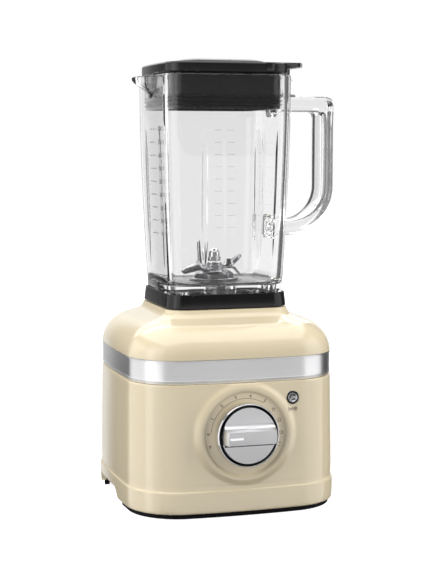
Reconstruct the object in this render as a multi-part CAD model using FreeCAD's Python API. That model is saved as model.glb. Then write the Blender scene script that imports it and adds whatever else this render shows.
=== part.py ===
import FreeCAD, Part
import math
import os

# Countertop blender: square glass jar with a handle on a painted metal base with a dial.
# Millimetres. Origin at the middle of the footprint on the bench, +Z up, the dial faces -Y,
# and the jar's handle points to +X. The motor, the blades and the jar share the Z axis.

V = FreeCAD.Vector
UP = V(0, 0, 1)
RIGHT = V(1, 0, 0)
BACK = V(0, 1, 0)

# An outline is a rounded square with bowed sides: half width, corner radius, how far the
# left and right sides bow out, and how far the front and back sides bow out.
BAND_OUTLINE = (103.4, 51.0, 6.3, 8.5)
WALL = 3.0

# Heights of the base, from the bench up.
FOOT_TOP = 3.1
RING_BOTTOM = 1.2
RING_TOP = 5.7
SKIRT_BOTTOM = 5.9
SKIRT_TOP = 27.0
BODY_BOTTOM = 30.0
BAND_BOTTOM = 128.3
BAND_TOP = 150.65
HOUSING_SPLIT = 139.5
SHOULDER_START = 150.0
NECK_TOP = 192.8
PAD_TOP = 193.5

# Half widths of the base.
RING_HALF = 102.0
SKIRT_HALF = 105.8
BODY_LOW_HALF = 104.8
BODY_MID_HALF = 104.3
BODY_TOP_HALF = 103.6
SPIGOT_HALF = 100.9

# The shoulder is an ellipse that falls away from the neck's concave arc.
SHOULDER_CENTRE = 68.0
SHOULDER_RISE = 33.0
NECK_CENTRE = (71.3, 194.2)
NECK_RADIUS = 9.8
NECK_HALF = 61.5
NECK_CORNER = 21.0
NECK_BOW = 0.4

# Finger arches cut into both sides of the base.
ARCH_FRONT = -28.0
ARCH_BACK = 56.0
ARCH_TOP = 16.0
ARCH_DEPTH_X = 77.0

# Screws at the housing's corners, and the feet under it: plus and minus these x and y.
SCREW_PLACE = (79.0, 79.0)
SCREW_R = 2.0
SCREW_HEAD_R = 3.6
SCREW_SOCKET_R = 1.8
FOOT_PLACE = (66.0, 72.0)
FOOT_R = 9.0

# Dial, start button and cord inlet.
DIAL_Z = 80.0
DIAL_FLOOR_Y = -103.8
BOSS_CREST_Y = -106.4
BOSS_INNER_R = 38.9
BOSS_CREST_R = 43.2
BOSS_OUTER_R = 52.0
CUP_R = 30.3
CUP_FRONT_Y = -115.4
FACE_R = 26.4
FACE_FRONT_Y = -116.2
GRIP_FRONT_Y = -127.0
GRIP_LENGTH = 52.0
GRIP_HEIGHT = 13.0
KNOB_SHAFT_R = 3.0
BUTTON_X = 47.5
BUTTON_Z = 111.8
BUTTON_R = 4.75
BEZEL_R = 6.2
BUTTON_SURFACE_Y = -102.2
GLAND_Z = 17.0
GLAND_BORE_R = 3.75
GLAND_LENGTH = 16.0

# Motor, on the Z axis.
SHAFT_R = 4.0
STATOR_LOW = 72.0
STATOR_HIGH = 122.0
STATOR_HALF = 42.0
STATOR_BORE_R = 25.2
CORE_R = 24.6
BOLT_OFFSET = 34.5
BEARING_R = 11.0
BEARING_HEIGHT = 7.0
LOWER_BEARING_Z = 36.0
UPPER_BEARING_Z = 158.0
FAN_Z = 50.0
FAN_R = 38.0
SHROUD_R = 41.0
COMMUTATOR_Z = 136.0
COMMUTATOR_R = 13.0
DRIVE_TOP = 203.0

# Circuit boards: the large one stands beside the motor, the small one behind the button.
BOARD_X = -80.0
BOARD_HALF = 34.0
BOARD_LOW = 60.0
BOARD_HIGH = 118.0
BOARD_THICK = 1.6
SWITCH_BOARD_Y = -80.4

# Jar.
COLLAR_BOTTOM = 193.8
COLLAR_TOP = 207.5
COLLAR_LOW_HALF = 61.2
COLLAR_TOP_HALF = 59.7
GLASS_BOTTOM = 203.8
GLASS_TOP = 417.0
GLASS_LOW_HALF = 57.4
GLASS_FLOOR = 214.0
GLASS_WALL = 4.6
STEM_R = 17.3
HANDLE_X = 115.35
HANDLE_THICK = 15.0
HANDLE_WIDTH = 35.0
HANDLE_TOP_Z = 390.0
HANDLE_BEND_Z = 308.5
HANDLE_BEND_R = 41.0

# Blades, above the jar's floor.
BLADE_SHAFT_R = 4.0
HUB_TOP = 226.4
LOWER_BLADE_Z = 227.2
UPPER_BLADE_Z = 229.6
BLADE_THICK = 1.8
NUT_BOTTOM = 233.0

# Lid.
LID_BOTTOM = 418.2
LID_TOP = 428.0
LID_HALF = 62.9
LID_CORNER = 19.3
LID_BOW = 2.75
LID_TAB_X = 90.3
LID_TAB_THICK = 4.8
PLUG_BOTTOM = 384.0
PLUG_HALF = 55.6
CAP_HALF = 44.0
CAP_TOP = 432.3

GAP = 0.3
RUNNING_GAP = 0.05


# ---------------------------------------------------------------- helpers

def corner_centre(half, corner, bow_side, bow_front):
    """Centre of the corner arc that is tangent to the bowed right and back sides."""
    front_r = (half ** 2 + bow_front ** 2) / (2 * bow_front)
    side_r = (half ** 2 + bow_side ** 2) / (2 * bow_side)
    front_c = V(0, half - front_r, 0)
    side_c = V(half - side_r, 0, 0)
    reach_a = front_r - corner
    reach_b = side_r - corner
    apart = side_c - front_c
    span = apart.Length
    along = (span ** 2 + reach_a ** 2 - reach_b ** 2) / (2 * span)
    across = math.sqrt(reach_a ** 2 - along ** 2)
    unit = V(apart).normalize()
    normal = V(-unit.y, unit.x, 0)
    meet = front_c + unit * along
    one = meet + normal * across
    two = meet - normal * across
    centre = one if one.x + one.y > two.x + two.y else two
    return centre, front_c, front_r, side_c, side_r


def bowed_wire(outline, z):
    """Closed outline of four bowed sides and four tangent corner arcs, at height z."""
    half, corner, bow_side, bow_front = outline
    centre, front_c, front_r, side_c, side_r = corner_centre(half, corner, bow_side, bow_front)
    to_back = (centre - front_c).normalize()
    to_side = (centre - side_c).normalize()
    back_end = front_c + to_back * front_r
    side_end = side_c + to_side * side_r
    middle = centre + (to_back + to_side).normalize() * corner
    edges = []
    for sx, sy in ((1, 1), (-1, 1), (-1, -1), (1, -1)):
        side = V(sx * side_end.x, sy * side_end.y, z)
        mid = V(sx * middle.x, sy * middle.y, z)
        back = V(sx * back_end.x, sy * back_end.y, z)
        other_back = V(-back.x, back.y, z)
        other_side = V(side.x, -side.y, z)
        crown = V(0, sy * half, z)
        flank = V(sx * half, 0, z)
        if sx * sy > 0:
            edges.append(Part.Arc(other_side, flank, side).toShape())
            edges.append(Part.Arc(side, mid, back).toShape())
            edges.append(Part.Arc(back, crown, other_back).toShape())
        else:
            edges.append(Part.Arc(back, mid, side).toShape())
    return Part.Wire(Part.__sortEdges__(edges))


def prism(outline, low, high):
    """Straight block with a bowed outline."""
    face = Part.Face(bowed_wire(outline, low))
    return face.extrude(V(0, 0, high - low))


def loft(sections):
    """Solid through (outline, height) sections."""
    wires = [bowed_wire(outline, z) for outline, z in sections]
    return Part.makeLoft(wires, True, False, False, 3)


def inset(outline, by):
    """The same outline, moved inwards by a wall thickness."""
    half, corner, bow_side, bow_front = outline
    return (half - by, max(corner - by, 1.0), bow_side, bow_front)


def with_half(half):
    """Outline of the base at another half width, with the band's proportions."""
    _, corner, bow_side, bow_front = BAND_OUTLINE
    return (half, corner, bow_side, bow_front)


def cylinder(radius, low, high, x=0.0, y=0.0):
    return Part.makeCylinder(radius, high - low, V(x, y, low), UP)


def ring(outer, inner, low, high, x=0.0, y=0.0):
    return cylinder(outer, low, high, x, y).cut(cylinder(inner, low - 1, high + 1, x, y))


def rod_y(radius, start, end, x, z):
    """Round bar along Y."""
    return Part.makeCylinder(radius, end - start, V(x, start, z), BACK)


def box(low, high):
    size = [b - a for a, b in zip(low, high)]
    return Part.makeBox(*size, V(*low))


def revolve_y(points, x, z):
    """Turn a (radius, y) outline about an axis along Y through x and z."""
    corners = [V(x + r, y, z) for r, y in points]
    face = Part.Face(Part.makePolygon(corners + corners[:1]))
    return face.revolve(V(x, 0, z), BACK, 360)


def polygon_solid(radius, count, low, high, x=0.0, y=0.0):
    """Prism with equal sides and the given corner radius."""
    corners = []
    for step in range(count):
        angle = 2 * math.pi * step / count
        corners.append(V(x + radius * math.cos(angle), y + radius * math.sin(angle), low))
    face = Part.Face(Part.makePolygon(corners + corners[:1]))
    return face.extrude(V(0, 0, high - low))


def fuse(shapes):
    first, *rest = shapes
    return first.multiFuse(rest).removeSplitter() if rest else first


def cut(shape, tools):
    for tool in tools:
        shape = shape.cut(tool)
    return shape


def corners_of(x, y):
    """The four points at plus and minus x and y."""
    return [(sx * x, sy * y) for sx in (1, -1) for sy in (1, -1)]


def group(shapes):
    """Separate solids in one node."""
    return Part.makeCompound(shapes)


# ---------------------------------------------------------------- base shells

def housing_room(low, high):
    """The space inside the lower housing's walls."""
    return prism(inset(with_half(BODY_TOP_HALF), WALL), low, high)


def arch_profile(grow):
    """Side view of a finger arch: a slope up at the front, a flat top and a square back."""
    front = ARCH_FRONT - grow
    top = ARCH_TOP + grow
    back = ARCH_BACK + grow
    foot = V(0, front, RING_TOP)
    knee = V(0, front + 8.0, RING_TOP + 5.2)
    brow = V(0, front + 16.0, top)
    below = RING_BOTTOM - 3.0
    slope = Part.BSplineCurve()
    slope.interpolate(Points=[foot, knee, brow], InitialTangent=BACK, FinalTangent=BACK)
    path = Part.makePolygon([brow, V(0, back, top), V(0, back, below), V(0, front, below), foot])
    return Part.Face(Part.Wire([slope.toShape()] + path.Edges))


def arch_cutter(side, grow, depth):
    """The arch's space on one side, from depth outwards."""
    length = 60.0
    solid = arch_profile(grow).extrude(V(side * length, 0, 0))
    solid.translate(V(side * depth, 0, 0))
    return solid


def corner_boss(low, high, inside):
    """Four screw bosses that grow out of the inner corners."""
    posts = []
    for x, y in corners_of(*SCREW_PLACE):
        towards = 1.065
        posts.append(cylinder(6.0, low, high, x, y))
        posts.append(cylinder(6.0, low, high, x * towards, y * towards))
    return fuse(posts).common(inside)


def lower_housing():
    skirt = loft([
        (with_half(SKIRT_HALF - 0.5), SKIRT_BOTTOM),
        (with_half(SKIRT_HALF), SKIRT_TOP - 12.0),
        (with_half(SKIRT_HALF), SKIRT_TOP)])
    step = loft([
        (with_half(SKIRT_HALF), SKIRT_TOP),
        (with_half(BODY_LOW_HALF), BODY_BOTTOM)])
    body = loft([
        (with_half(BODY_LOW_HALF), BODY_BOTTOM),
        (with_half(BODY_MID_HALF), DIAL_Z),
        (with_half(BODY_TOP_HALF), BAND_BOTTOM - 0.4)])
    under_band = box((-120, -120, 0), (120, 120, BAND_BOTTOM - 0.4))
    boss = dial_boss().common(under_band)
    outer = fuse([skirt, step, body, boss])
    room = housing_room(SKIRT_BOTTOM - 1, BAND_BOTTOM - 8.0)
    throat = prism(inset(with_half(SPIGOT_HALF), WALL), BAND_BOTTOM - 9.0, HOUSING_SPLIT)
    spigot = prism(with_half(SPIGOT_HALF), BAND_BOTTOM - 6.0, HOUSING_SPLIT - 0.2)
    shell = outer.fuse(spigot)
    shell = cut(shell, [room, throat])
    shell = shell.fuse(boss)
    inner_line = prism(with_half(BODY_TOP_HALF - 1.0), 0, HOUSING_SPLIT)
    lower_boss = corner_boss(SKIRT_BOTTOM, 26.0, inner_line)
    spigot_line = prism(with_half(SPIGOT_HALF - 1.0), 0, HOUSING_SPLIT - 0.2)
    upper_boss = corner_boss(112.0, HOUSING_SPLIT - 0.2, spigot_line)
    shell = shell.fuse(lower_boss).fuse(upper_boss)
    tools = [arch_cutter(side, 0.0, ARCH_DEPTH_X) for side in (1, -1)]
    for x, y in corners_of(*SCREW_PLACE):
        tools.append(cylinder(2.1, SKIRT_BOTTOM - 1, 24.0, x, y))
        tools.append(cylinder(2.3, 110.0, HOUSING_SPLIT, x, y))
    tools.append(rod_y(BOSS_INNER_R, -112.0, DIAL_FLOOR_Y, 0, DIAL_Z))
    tools.append(rod_y(BEZEL_R + 0.2, -112.0, BUTTON_SURFACE_Y + 1.0, BUTTON_X, BUTTON_Z))
    tools.append(rod_y(4.6, -112.0, -90.0, 0, DIAL_Z))
    tools.append(rod_y(5.8, -112.0, -90.0, BUTTON_X, BUTTON_Z))
    tools.append(rod_y(6.3, 95.0, 112.0, 0, GLAND_Z))
    return cut(shell, tools)


def dial_boss():
    """Flat-crested ring around the dial, with a shallow floor for the dial's scale."""
    back = -97.6
    profile = [
        (0.0, back), (0.0, DIAL_FLOOR_Y), (BOSS_INNER_R, DIAL_FLOOR_Y),
        (BOSS_INNER_R + 1.6, DIAL_FLOOR_Y - 1.9), (BOSS_CREST_R, BOSS_CREST_Y),
        (BOSS_CREST_R + 3.0, BOSS_CREST_Y + 0.5), (BOSS_OUTER_R, -101.2), (BOSS_OUTER_R, back)]
    return revolve_y(profile, 0, DIAL_Z)


def shoulder_curve(by):
    """(half width, height) up the shoulder and neck, moved inwards by a wall thickness."""
    points = []
    for degrees in (2, 20, 38, 56, 72):
        angle = math.radians(degrees)
        half = SHOULDER_CENTRE + (BAND_OUTLINE[0] - SHOULDER_CENTRE - by) * math.cos(angle)
        points.append((half, SHOULDER_START + (SHOULDER_RISE - by) * math.sin(angle)))
    radius = NECK_RADIUS + by
    for degrees in (248, 223, 197):
        angle = math.radians(degrees)
        half = NECK_CENTRE[0] + radius * math.cos(angle)
        points.append((half, NECK_CENTRE[1] + radius * math.sin(angle)))
    return points


def shoulder_outline(half, by):
    """The outline changes from the band's to the neck's as it narrows."""
    blend = (half + by - NECK_HALF) / (BAND_OUTLINE[0] - NECK_HALF)
    corner = NECK_CORNER + (BAND_OUTLINE[1] - NECK_CORNER) * blend - by
    bow_side = NECK_BOW + (BAND_OUTLINE[2] - NECK_BOW) * blend
    bow_front = NECK_BOW + (BAND_OUTLINE[3] - NECK_BOW) * blend
    return (half, corner, max(bow_side, 0.3), max(bow_front, 0.3))


def upper_housing():
    outer_sections = [(shoulder_outline(half, 0), z) for half, z in shoulder_curve(0)]
    outer_sections.append((shoulder_outline(NECK_HALF, 0), NECK_TOP))
    inner_sections = [(shoulder_outline(half, WALL), z) for half, z in shoulder_curve(WALL)]
    inner_sections.append((shoulder_outline(NECK_HALF - WALL, WALL), NECK_TOP - 4.0))
    lip_low = HOUSING_SPLIT + 0.2
    lip_high = 154.0
    outer = loft(outer_sections)
    inner = loft(inner_sections)
    lip = prism(with_half(SPIGOT_HALF), lip_low, lip_high)
    throat = prism(inset(with_half(SPIGOT_HALF), WALL), lip_low - 1, lip_high)
    shell = outer.fuse(lip)
    shell = cut(shell, [throat, inner])
    inner_line = prism(with_half(SPIGOT_HALF - 1.0), lip_low, 158.0)
    shell = shell.fuse(corner_boss(lip_low, 158.0, inner_line))
    recess = prism(inset((NECK_HALF, NECK_CORNER, NECK_BOW, NECK_BOW), 5.0), 190.2, NECK_TOP + 5)
    tools = [recess, cylinder(24.0, 180.0, 200.0)]
    for x, y in corners_of(*SCREW_PLACE):
        tools.append(cylinder(2.1, lip_low - 1, 154.0, x, y))
    return cut(shell, tools)


def trim_band():
    edge = 0.7
    block = loft([
        (inset(BAND_OUTLINE, edge), BAND_BOTTOM),
        (BAND_OUTLINE, BAND_BOTTOM + edge)])
    middle = prism(BAND_OUTLINE, BAND_BOTTOM + edge, BAND_TOP - edge)
    top = loft([
        (BAND_OUTLINE, BAND_TOP - edge),
        (inset(BAND_OUTLINE, edge), BAND_TOP)])
    outer = fuse([block, middle, top])
    return outer.cut(prism(with_half(SPIGOT_HALF + 0.2), BAND_BOTTOM - 1, BAND_TOP + 1))


def jar_seat_pad():
    outline = inset((NECK_HALF, NECK_CORNER, NECK_BOW, NECK_BOW), 5.2)
    plate = prism(outline, 190.3, PAD_TOP)
    return plate.cut(cylinder(30.0, 180, 200))


def coupling_guard():
    """Low ring that keeps spills out of the drive well."""
    collar = ring(29.5, 25.5, 190.3, 194.7)
    flange = ring(29.5, 21.0, 190.3, 191.8)
    return collar.fuse(flange)


def bottom_plate():
    ring_outline = (RING_HALF, 50.0, 5.2, 7.4)
    plate = prism(inset(ring_outline, 1.8), 3.2, RING_TOP)
    lip = prism(ring_outline, RING_BOTTOM, RING_TOP)
    lip = lip.cut(prism(inset(ring_outline, 5.0), 0, RING_TOP + 1))
    shape = plate.fuse(lip)
    room = prism(inset(with_half(BODY_TOP_HALF), WALL + GAP), RING_BOTTOM, 40.0)
    room = room.fuse(prism(ring_outline, RING_BOTTOM, RING_TOP))
    for side in (1, -1):
        liner = arch_cutter(side, 2.0, ARCH_DEPTH_X - 2.0)
        floor = box((min(0, side * 140), -60, RING_TOP - 2.5), (max(0, side * 140), 90, 40))
        shape = shape.fuse(liner.common(room).common(floor))
    tools = [arch_cutter(side, 0.0, ARCH_DEPTH_X) for side in (1, -1)]
    for x, y in corners_of(*SCREW_PLACE):
        tools.append(cylinder(2.2, 0, 10, x, y))
    for x, y in corners_of(*FOOT_PLACE):
        tools.append(cylinder(3.1, 0, 10, x, y))
    for x, y in corners_of(BOLT_OFFSET, BOLT_OFFSET):
        shape = shape.fuse(ring(8.0, 2.6, 3.2, 22.0, x, y))
    slot_length = 44.0
    for step in range(-3, 4):
        y = step * 8.0
        tools.append(box((-slot_length / 2, y - 2, 0), (slot_length / 2, y + 2, 10)))
    shape = cut(shape, tools)
    solids = sorted(shape.Solids, key=lambda solid: solid.Volume)
    return solids[-1]


def rubber_feet():
    feet = []
    for x, y in corners_of(*FOOT_PLACE):
        pad = cylinder(FOOT_R, 0, FOOT_TOP, x, y)
        pad = pad.makeFillet(0.8, [pad.Edges[0], pad.Edges[2]])
        feet.append(pad.fuse(cylinder(3.0, FOOT_TOP - 0.5, 7.5, x, y)))
    return group(feet)


def socket_screw(low, neck, tip, x, y):
    """Screw that points up, with its head from low to neck and a hexagon socket in it."""
    head = cylinder(SCREW_HEAD_R, low, neck, x, y)
    socket = polygon_solid(SCREW_SOCKET_R, 6, low - 0.3, (low + neck) / 2, x, y)
    return head.fuse(cylinder(SCREW_R, neck - 0.5, tip, x, y)).cut(socket)


def bottom_screws():
    screws = []
    for x, y in corners_of(*SCREW_PLACE):
        screws.append(socket_screw(1.3, 3.1, 20.0, x, y))
    return group(screws)


def housing_screws():
    screws = []
    for x, y in corners_of(*SCREW_PLACE):
        screws.append(socket_screw(108.4, 111.9, 152.0, x, y))
    return group(screws)


def cord_gland():
    """Grommet in the back wall: its bore is where a mains lead would come in."""
    back = 104.0
    flange = rod_y(9.0, back + 2.0, back + 4.6, 0, GLAND_Z)
    body = rod_y(6.1, back + 4.6 - GLAND_LENGTH, back + 4.0, 0, GLAND_Z)
    clamp = rod_y(8.6, back - 7.6, back - 4.6, 0, GLAND_Z)
    bore = rod_y(GLAND_BORE_R, back - 20, back + 20, 0, GLAND_Z)
    return fuse([flange, body, clamp]).cut(bore)


# ---------------------------------------------------------------- motor, fixed pieces

def motor_stator():
    block = box((-STATOR_HALF, -STATOR_HALF, STATOR_LOW), (STATOR_HALF, STATOR_HALF, STATOR_HIGH))
    uprights = [e for e in block.Edges if abs(e.tangentAt(e.FirstParameter).z) > 0.9]
    block = block.makeFillet(6.0, uprights)
    tools = [cylinder(STATOR_BORE_R, STATOR_LOW - 1, STATOR_HIGH + 1)]
    for x, y in corners_of(BOLT_OFFSET, BOLT_OFFSET):
        tools.append(cylinder(2.3, STATOR_LOW - 1, STATOR_HIGH + 1, x, y))
    for side in (1, -1):
        for edge in (1, -1):
            low = (side * 31.0 - 3.5, edge * 19.0 - 6.0, STATOR_LOW - 1)
            high = (side * 31.0 + 3.5, edge * 19.0 + 6.0, STATOR_HIGH + 1)
            tools.append(box(low, high))
    return cut(block, tools)


def field_coils():
    """Two wound coils that pass through the stator's slots."""
    coils = []
    for side in (1, -1):
        x = side * 31.0
        outer = box((x - 3.2, -24.6, STATOR_LOW - 6.0), (x + 3.2, 24.6, STATOR_HIGH + 6.0))
        inner = box((x - 4, -13.4, STATOR_LOW - 0.3), (x + 4, 13.4, STATOR_HIGH + 0.3))
        coils.append(outer.cut(inner))
    return group(coils)


def bracket(low, high, bearing_low):
    """Cross-shaped end bracket with a pocket for a ball bearing."""
    reach = BOLT_OFFSET + 6.0
    arms = []
    for turn in (45, -45):
        arm = box((-reach * 1.36, -7, low), (reach * 1.36, 7, high))
        arm.rotate(V(0, 0, 0), UP, turn)
        arms.append(arm)
    hub_low = min(low, bearing_low - 2.0)
    hub_high = max(high, bearing_low + BEARING_HEIGHT)
    hub = cylinder(BEARING_R + 4.0, hub_low, hub_high)
    shape = fuse(arms + [hub])
    return shape, hub_low, hub_high


def motor_lower_bracket():
    shape, hub_low, hub_high = bracket(31.0, 36.0, LOWER_BEARING_Z)
    tools = [cylinder(BEARING_R + 0.02, LOWER_BEARING_Z, hub_high + 1)]
    tools.append(cylinder(SHAFT_R + 2.0, hub_low - 1, hub_high))
    for x, y in corners_of(BOLT_OFFSET, BOLT_OFFSET):
        tools.append(cylinder(2.3, 0, 60, x, y))
    return cut(shape, tools)


def motor_upper_bracket():
    low = 130.0
    shape, hub_low, hub_high = bracket(164.0, 168.0, UPPER_BEARING_Z)
    for x, y in corners_of(BOLT_OFFSET, BOLT_OFFSET):
        shape = shape.fuse(cylinder(5.0, low, 166.0, x, y))
    tools = [cylinder(BEARING_R + 0.02, UPPER_BEARING_Z - 3, UPPER_BEARING_Z + BEARING_HEIGHT)]
    tools.append(cylinder(SHAFT_R + 2.0, hub_low - 1, hub_high + 5))
    for x, y in corners_of(BOLT_OFFSET, BOLT_OFFSET):
        tools.append(cylinder(2.3, 0, 160, x, y))
    return cut(shape, tools)


def motor_bolts():
    bolts = []
    for x, y in corners_of(BOLT_OFFSET, BOLT_OFFSET):
        head = cylinder(3.8, 27.0, 30.9, x, y)
        bolts.append(head.fuse(cylinder(2.0, 30.0, 158.0, x, y)))
    return group(bolts)


def motor_mounts():
    """Rubber mounts between the bottom plate's posts and the lower bracket."""
    mounts = []
    for x, y in corners_of(BOLT_OFFSET, BOLT_OFFSET):
        mounts.append(ring(7.6, 4.2, 22.1, 30.9, x, y))
    return group(mounts)


def stator_spacers():
    """Sleeves on the motor bolts, below and above the laminations."""
    sleeves = []
    for x, y in corners_of(BOLT_OFFSET, BOLT_OFFSET):
        sleeves.append(ring(4.6, 2.2, 36.1, STATOR_LOW - 0.1, x, y))
        sleeves.append(ring(4.6, 2.2, STATOR_HIGH + 0.1, 129.9, x, y))
    return group(sleeves)


def ball_bearing(low):
    outer = ring(BEARING_R, BEARING_R - 2.2, low, low + BEARING_HEIGHT)
    inner = ring(SHAFT_R + 2.4, SHAFT_R + RUNNING_GAP, low, low + BEARING_HEIGHT)
    shield = ring(BEARING_R - 2.2, SHAFT_R + 2.4, low + 0.5, low + BEARING_HEIGHT - 0.5)
    return fuse([outer, shield, inner])


def fan_shroud():
    wall = ring(SHROUD_R + 2.0, SHROUD_R, 46.0, 66.0)
    notches = [cylinder(5.0, 40, 70, x, y) for x, y in corners_of(BOLT_OFFSET, BOLT_OFFSET)]
    return cut(wall, notches)


def brush_holders():
    holders = []
    for side in (1, -1):
        inner = 16.0
        low = (-5.2, min(side * inner, side * 40.0), 139.0)
        high = (5.2, max(side * inner, side * 40.0), 149.0)
        tube = box(low, high)
        low = (-3.2, min(side * 10.0, side * 42.0), 141.0)
        high = (3.2, max(side * 10.0, side * 42.0), 147.0)
        holders.append(tube.cut(box(low, high)))
    return group(holders)


def carbon_brushes():
    brushes = []
    for side in (1, -1):
        near = side * (COMMUTATOR_R + 0.2)
        far = side * 26.0
        brushes.append(box((-3.1, min(near, far), 141.1), (3.1, max(near, far), 146.9)))
    return group(brushes)


def brush_springs():
    """Folded leaf springs that push the brushes in."""
    springs = []
    thick = 0.5
    for side in (1, -1):
        leaves = []
        for step in range(4):
            y = side * (26.2 + step * 3.2)
            leaves.append(box((-2.8, min(y, y + side * thick), 141.4),
                              (2.8, max(y, y + side * thick), 146.6)))
            x = 2.3 if step % 2 else -2.8
            reach = side * 3.7
            if step < 3:
                leaves.append(box((x, min(y, y + reach), 141.4), (x + thick, max(y, y + reach), 146.6)))
        springs.append(fuse(leaves))
    return group(springs)


def brush_ring():
    """Insulating ring that carries both brush holders under the upper bracket."""
    plate = ring(40.0, 21.0, 149.2, 151.2)
    tools = [cylinder(5.2, 140, 160, x, y) for x, y in corners_of(BOLT_OFFSET, BOLT_OFFSET)]
    return cut(plate, tools)


# ---------------------------------------------------------------- motor, turning pieces

def motor_shaft():
    long_part = cylinder(SHAFT_R, 33.0, 186.0)
    journal = cylinder(SHAFT_R - 0.8, 28.0, 33.5)
    return long_part.fuse(journal)


def rotor_core():
    core = cylinder(CORE_R, STATOR_LOW, STATOR_HIGH)
    tools = [cylinder(SHAFT_R + 0.02, STATOR_LOW - 1, STATOR_HIGH + 1)]
    slots = 12
    for step in range(slots):
        slot = box((17.5, -1.4, STATOR_LOW - 1), (CORE_R + 1, 1.4, STATOR_HIGH + 1))
        slot.rotate(V(0, 0, 0), UP, 360.0 * step / slots)
        tools.append(slot)
    return cut(core, tools)


def rotor_windings():
    """Copper end turns above and below the core."""
    heads = []
    for low, high in ((STATOR_LOW - 8.0, STATOR_LOW - 0.2), (STATOR_HIGH + 0.2, STATOR_HIGH + 9.0)):
        head = ring(21.5, 8.0, low, high)
        heads.append(head.makeFillet(3.0, [e for e in head.Edges if e.Length > 2 * math.pi * 20]))
    return group(heads)


def commutator():
    body = ring(COMMUTATOR_R, SHAFT_R + 0.02, COMMUTATOR_Z, COMMUTATOR_Z + 14.0)
    bars = 24
    for step in range(bars):
        low = (COMMUTATOR_R - 0.8, -0.3, COMMUTATOR_Z + 2)
        high = (COMMUTATOR_R + 1, 0.3, COMMUTATOR_Z + 15)
        groove = box(low, high)
        groove.rotate(V(0, 0, 0), UP, 360.0 * step / bars)
        body = body.cut(groove)
    return body


def cooling_fan():
    hub = ring(10.0, SHAFT_R + 0.02, FAN_Z, FAN_Z + 12.0)
    plate = ring(FAN_R, 9.0, FAN_Z, FAN_Z + 1.6)
    blades = []
    count = 11
    for step in range(count):
        blade = box((12.0, -0.8, FAN_Z + 1.0), (FAN_R - 1.0, 0.8, FAN_Z + 11.0))
        blade.rotate(V(12.0, 0, 0), UP, 24)
        blade.rotate(V(0, 0, 0), UP, 360.0 * step / count)
        blades.append(blade)
    limit = cylinder(FAN_R, FAN_Z - 1, FAN_Z + 13)
    return fuse([hub, plate] + blades).common(limit)


def lobed(radius, depth, lobes, low, high, grow=0.0):
    """Star prism of round lobes."""
    core = cylinder(radius - depth + grow, low, high)
    parts = [core]
    for step in range(lobes):
        angle = 2 * math.pi * step / lobes
        reach = radius - depth
        x = reach * math.cos(angle)
        y = reach * math.sin(angle)
        parts.append(cylinder(depth + grow, low, high, x, y))
    return fuse(parts)


def drive_coupling():
    """Rubber star on top of the motor shaft that drives the blades."""
    hub = cylinder(12.0, 178.0, 188.0)
    star = lobed(9.2, 2.2, 6, 187.0, DRIVE_TOP)
    return hub.fuse(star).cut(cylinder(SHAFT_R + 0.02, 170, 186.2))


# ---------------------------------------------------------------- controls

def rotary_encoder():
    body = box((-9, -97.2, DIAL_Z - 9), (9, -87.0, DIAL_Z + 9))
    bush = rod_y(4.4, -99.6, -97.0, 0, DIAL_Z)
    return body.fuse(bush).cut(rod_y(KNOB_SHAFT_R + RUNNING_GAP, -110, -88.5, 0, DIAL_Z))


def board_holes():
    """(y, z) of the four fixings of the control board."""
    return [(y, z) for y in (-30, 30) for z in (BOARD_LOW + 4.0, BOARD_HIGH - 4.0)]


def control_board():
    board = box((BOARD_X, -BOARD_HALF, BOARD_LOW), (BOARD_X + BOARD_THICK, BOARD_HALF, BOARD_HIGH))
    holes = [Part.makeCylinder(1.8, 10, V(BOARD_X - 4, y, z), RIGHT) for y, z in board_holes()]
    return cut(board, holes)


def board_standoffs():
    posts = []
    outside = BOARD_X - 30.0
    for y, z in board_holes():
        post = Part.makeCylinder(3.2, BOARD_X - 0.1 - outside, V(outside, y, z), RIGHT)
        pin = Part.makeCylinder(1.6, 5.0, V(BOARD_X - 1.0, y, z), RIGHT)
        posts.append(post.common(housing_room(BOARD_LOW, BOARD_HIGH)).fuse(pin))
    return group(posts)


def heat_sink():
    back = BOARD_X + BOARD_THICK + 0.2
    low = 66.0
    high = 96.0
    half = 18.0
    base = box((back, -half, low), (back + 4.0, half, high))
    count = 6
    pitch = 6.6
    fins = []
    for step in range(count):
        y = (step - (count - 1) / 2) * pitch
        fins.append(box((back + 3.8, y - 0.9, low), (back + 18.2, y + 0.9, high)))
    return fuse([base] + fins)


def power_switch_chip():
    back = BOARD_X + BOARD_THICK + 0.2
    body = box((back, 22, 70), (back + 4.6, 32, 86))
    leads = [box((back + 1.2, y - 0.4, 66), (back + 2.0, y + 0.4, 70.5)) for y in (24.5, 27.0, 29.5)]
    return fuse([body] + leads)


def switch_board():
    low = 92.0
    high = 120.0
    board = box((30, SWITCH_BOARD_Y, low), (66, SWITCH_BOARD_Y + 1.4, high))
    posts = []
    for x, z in ((57, 96), (60, 114)):
        post = rod_y(2.6, SWITCH_BOARD_Y - 30, SWITCH_BOARD_Y + 0.1, x, z)
        posts.append(post.common(housing_room(low, high)))
    return fuse([board] + posts)


def start_switch():
    back = SWITCH_BOARD_Y - 0.1
    front = back - 3.1
    body = box((BUTTON_X - 4, front, BUTTON_Z - 4), (BUTTON_X + 4, back, BUTTON_Z + 4))
    return body.fuse(rod_y(2.4, front - 0.8, front + 0.2, BUTTON_X, BUTTON_Z))


def status_lamp():
    back = SWITCH_BOARD_Y - 0.1
    lens = rod_y(2.4, back - 8.5, back, BUTTON_X, 100.0)
    return lens.fuse(rod_y(3.0, back - 1.5, back, BUTTON_X, 100.0))


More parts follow.
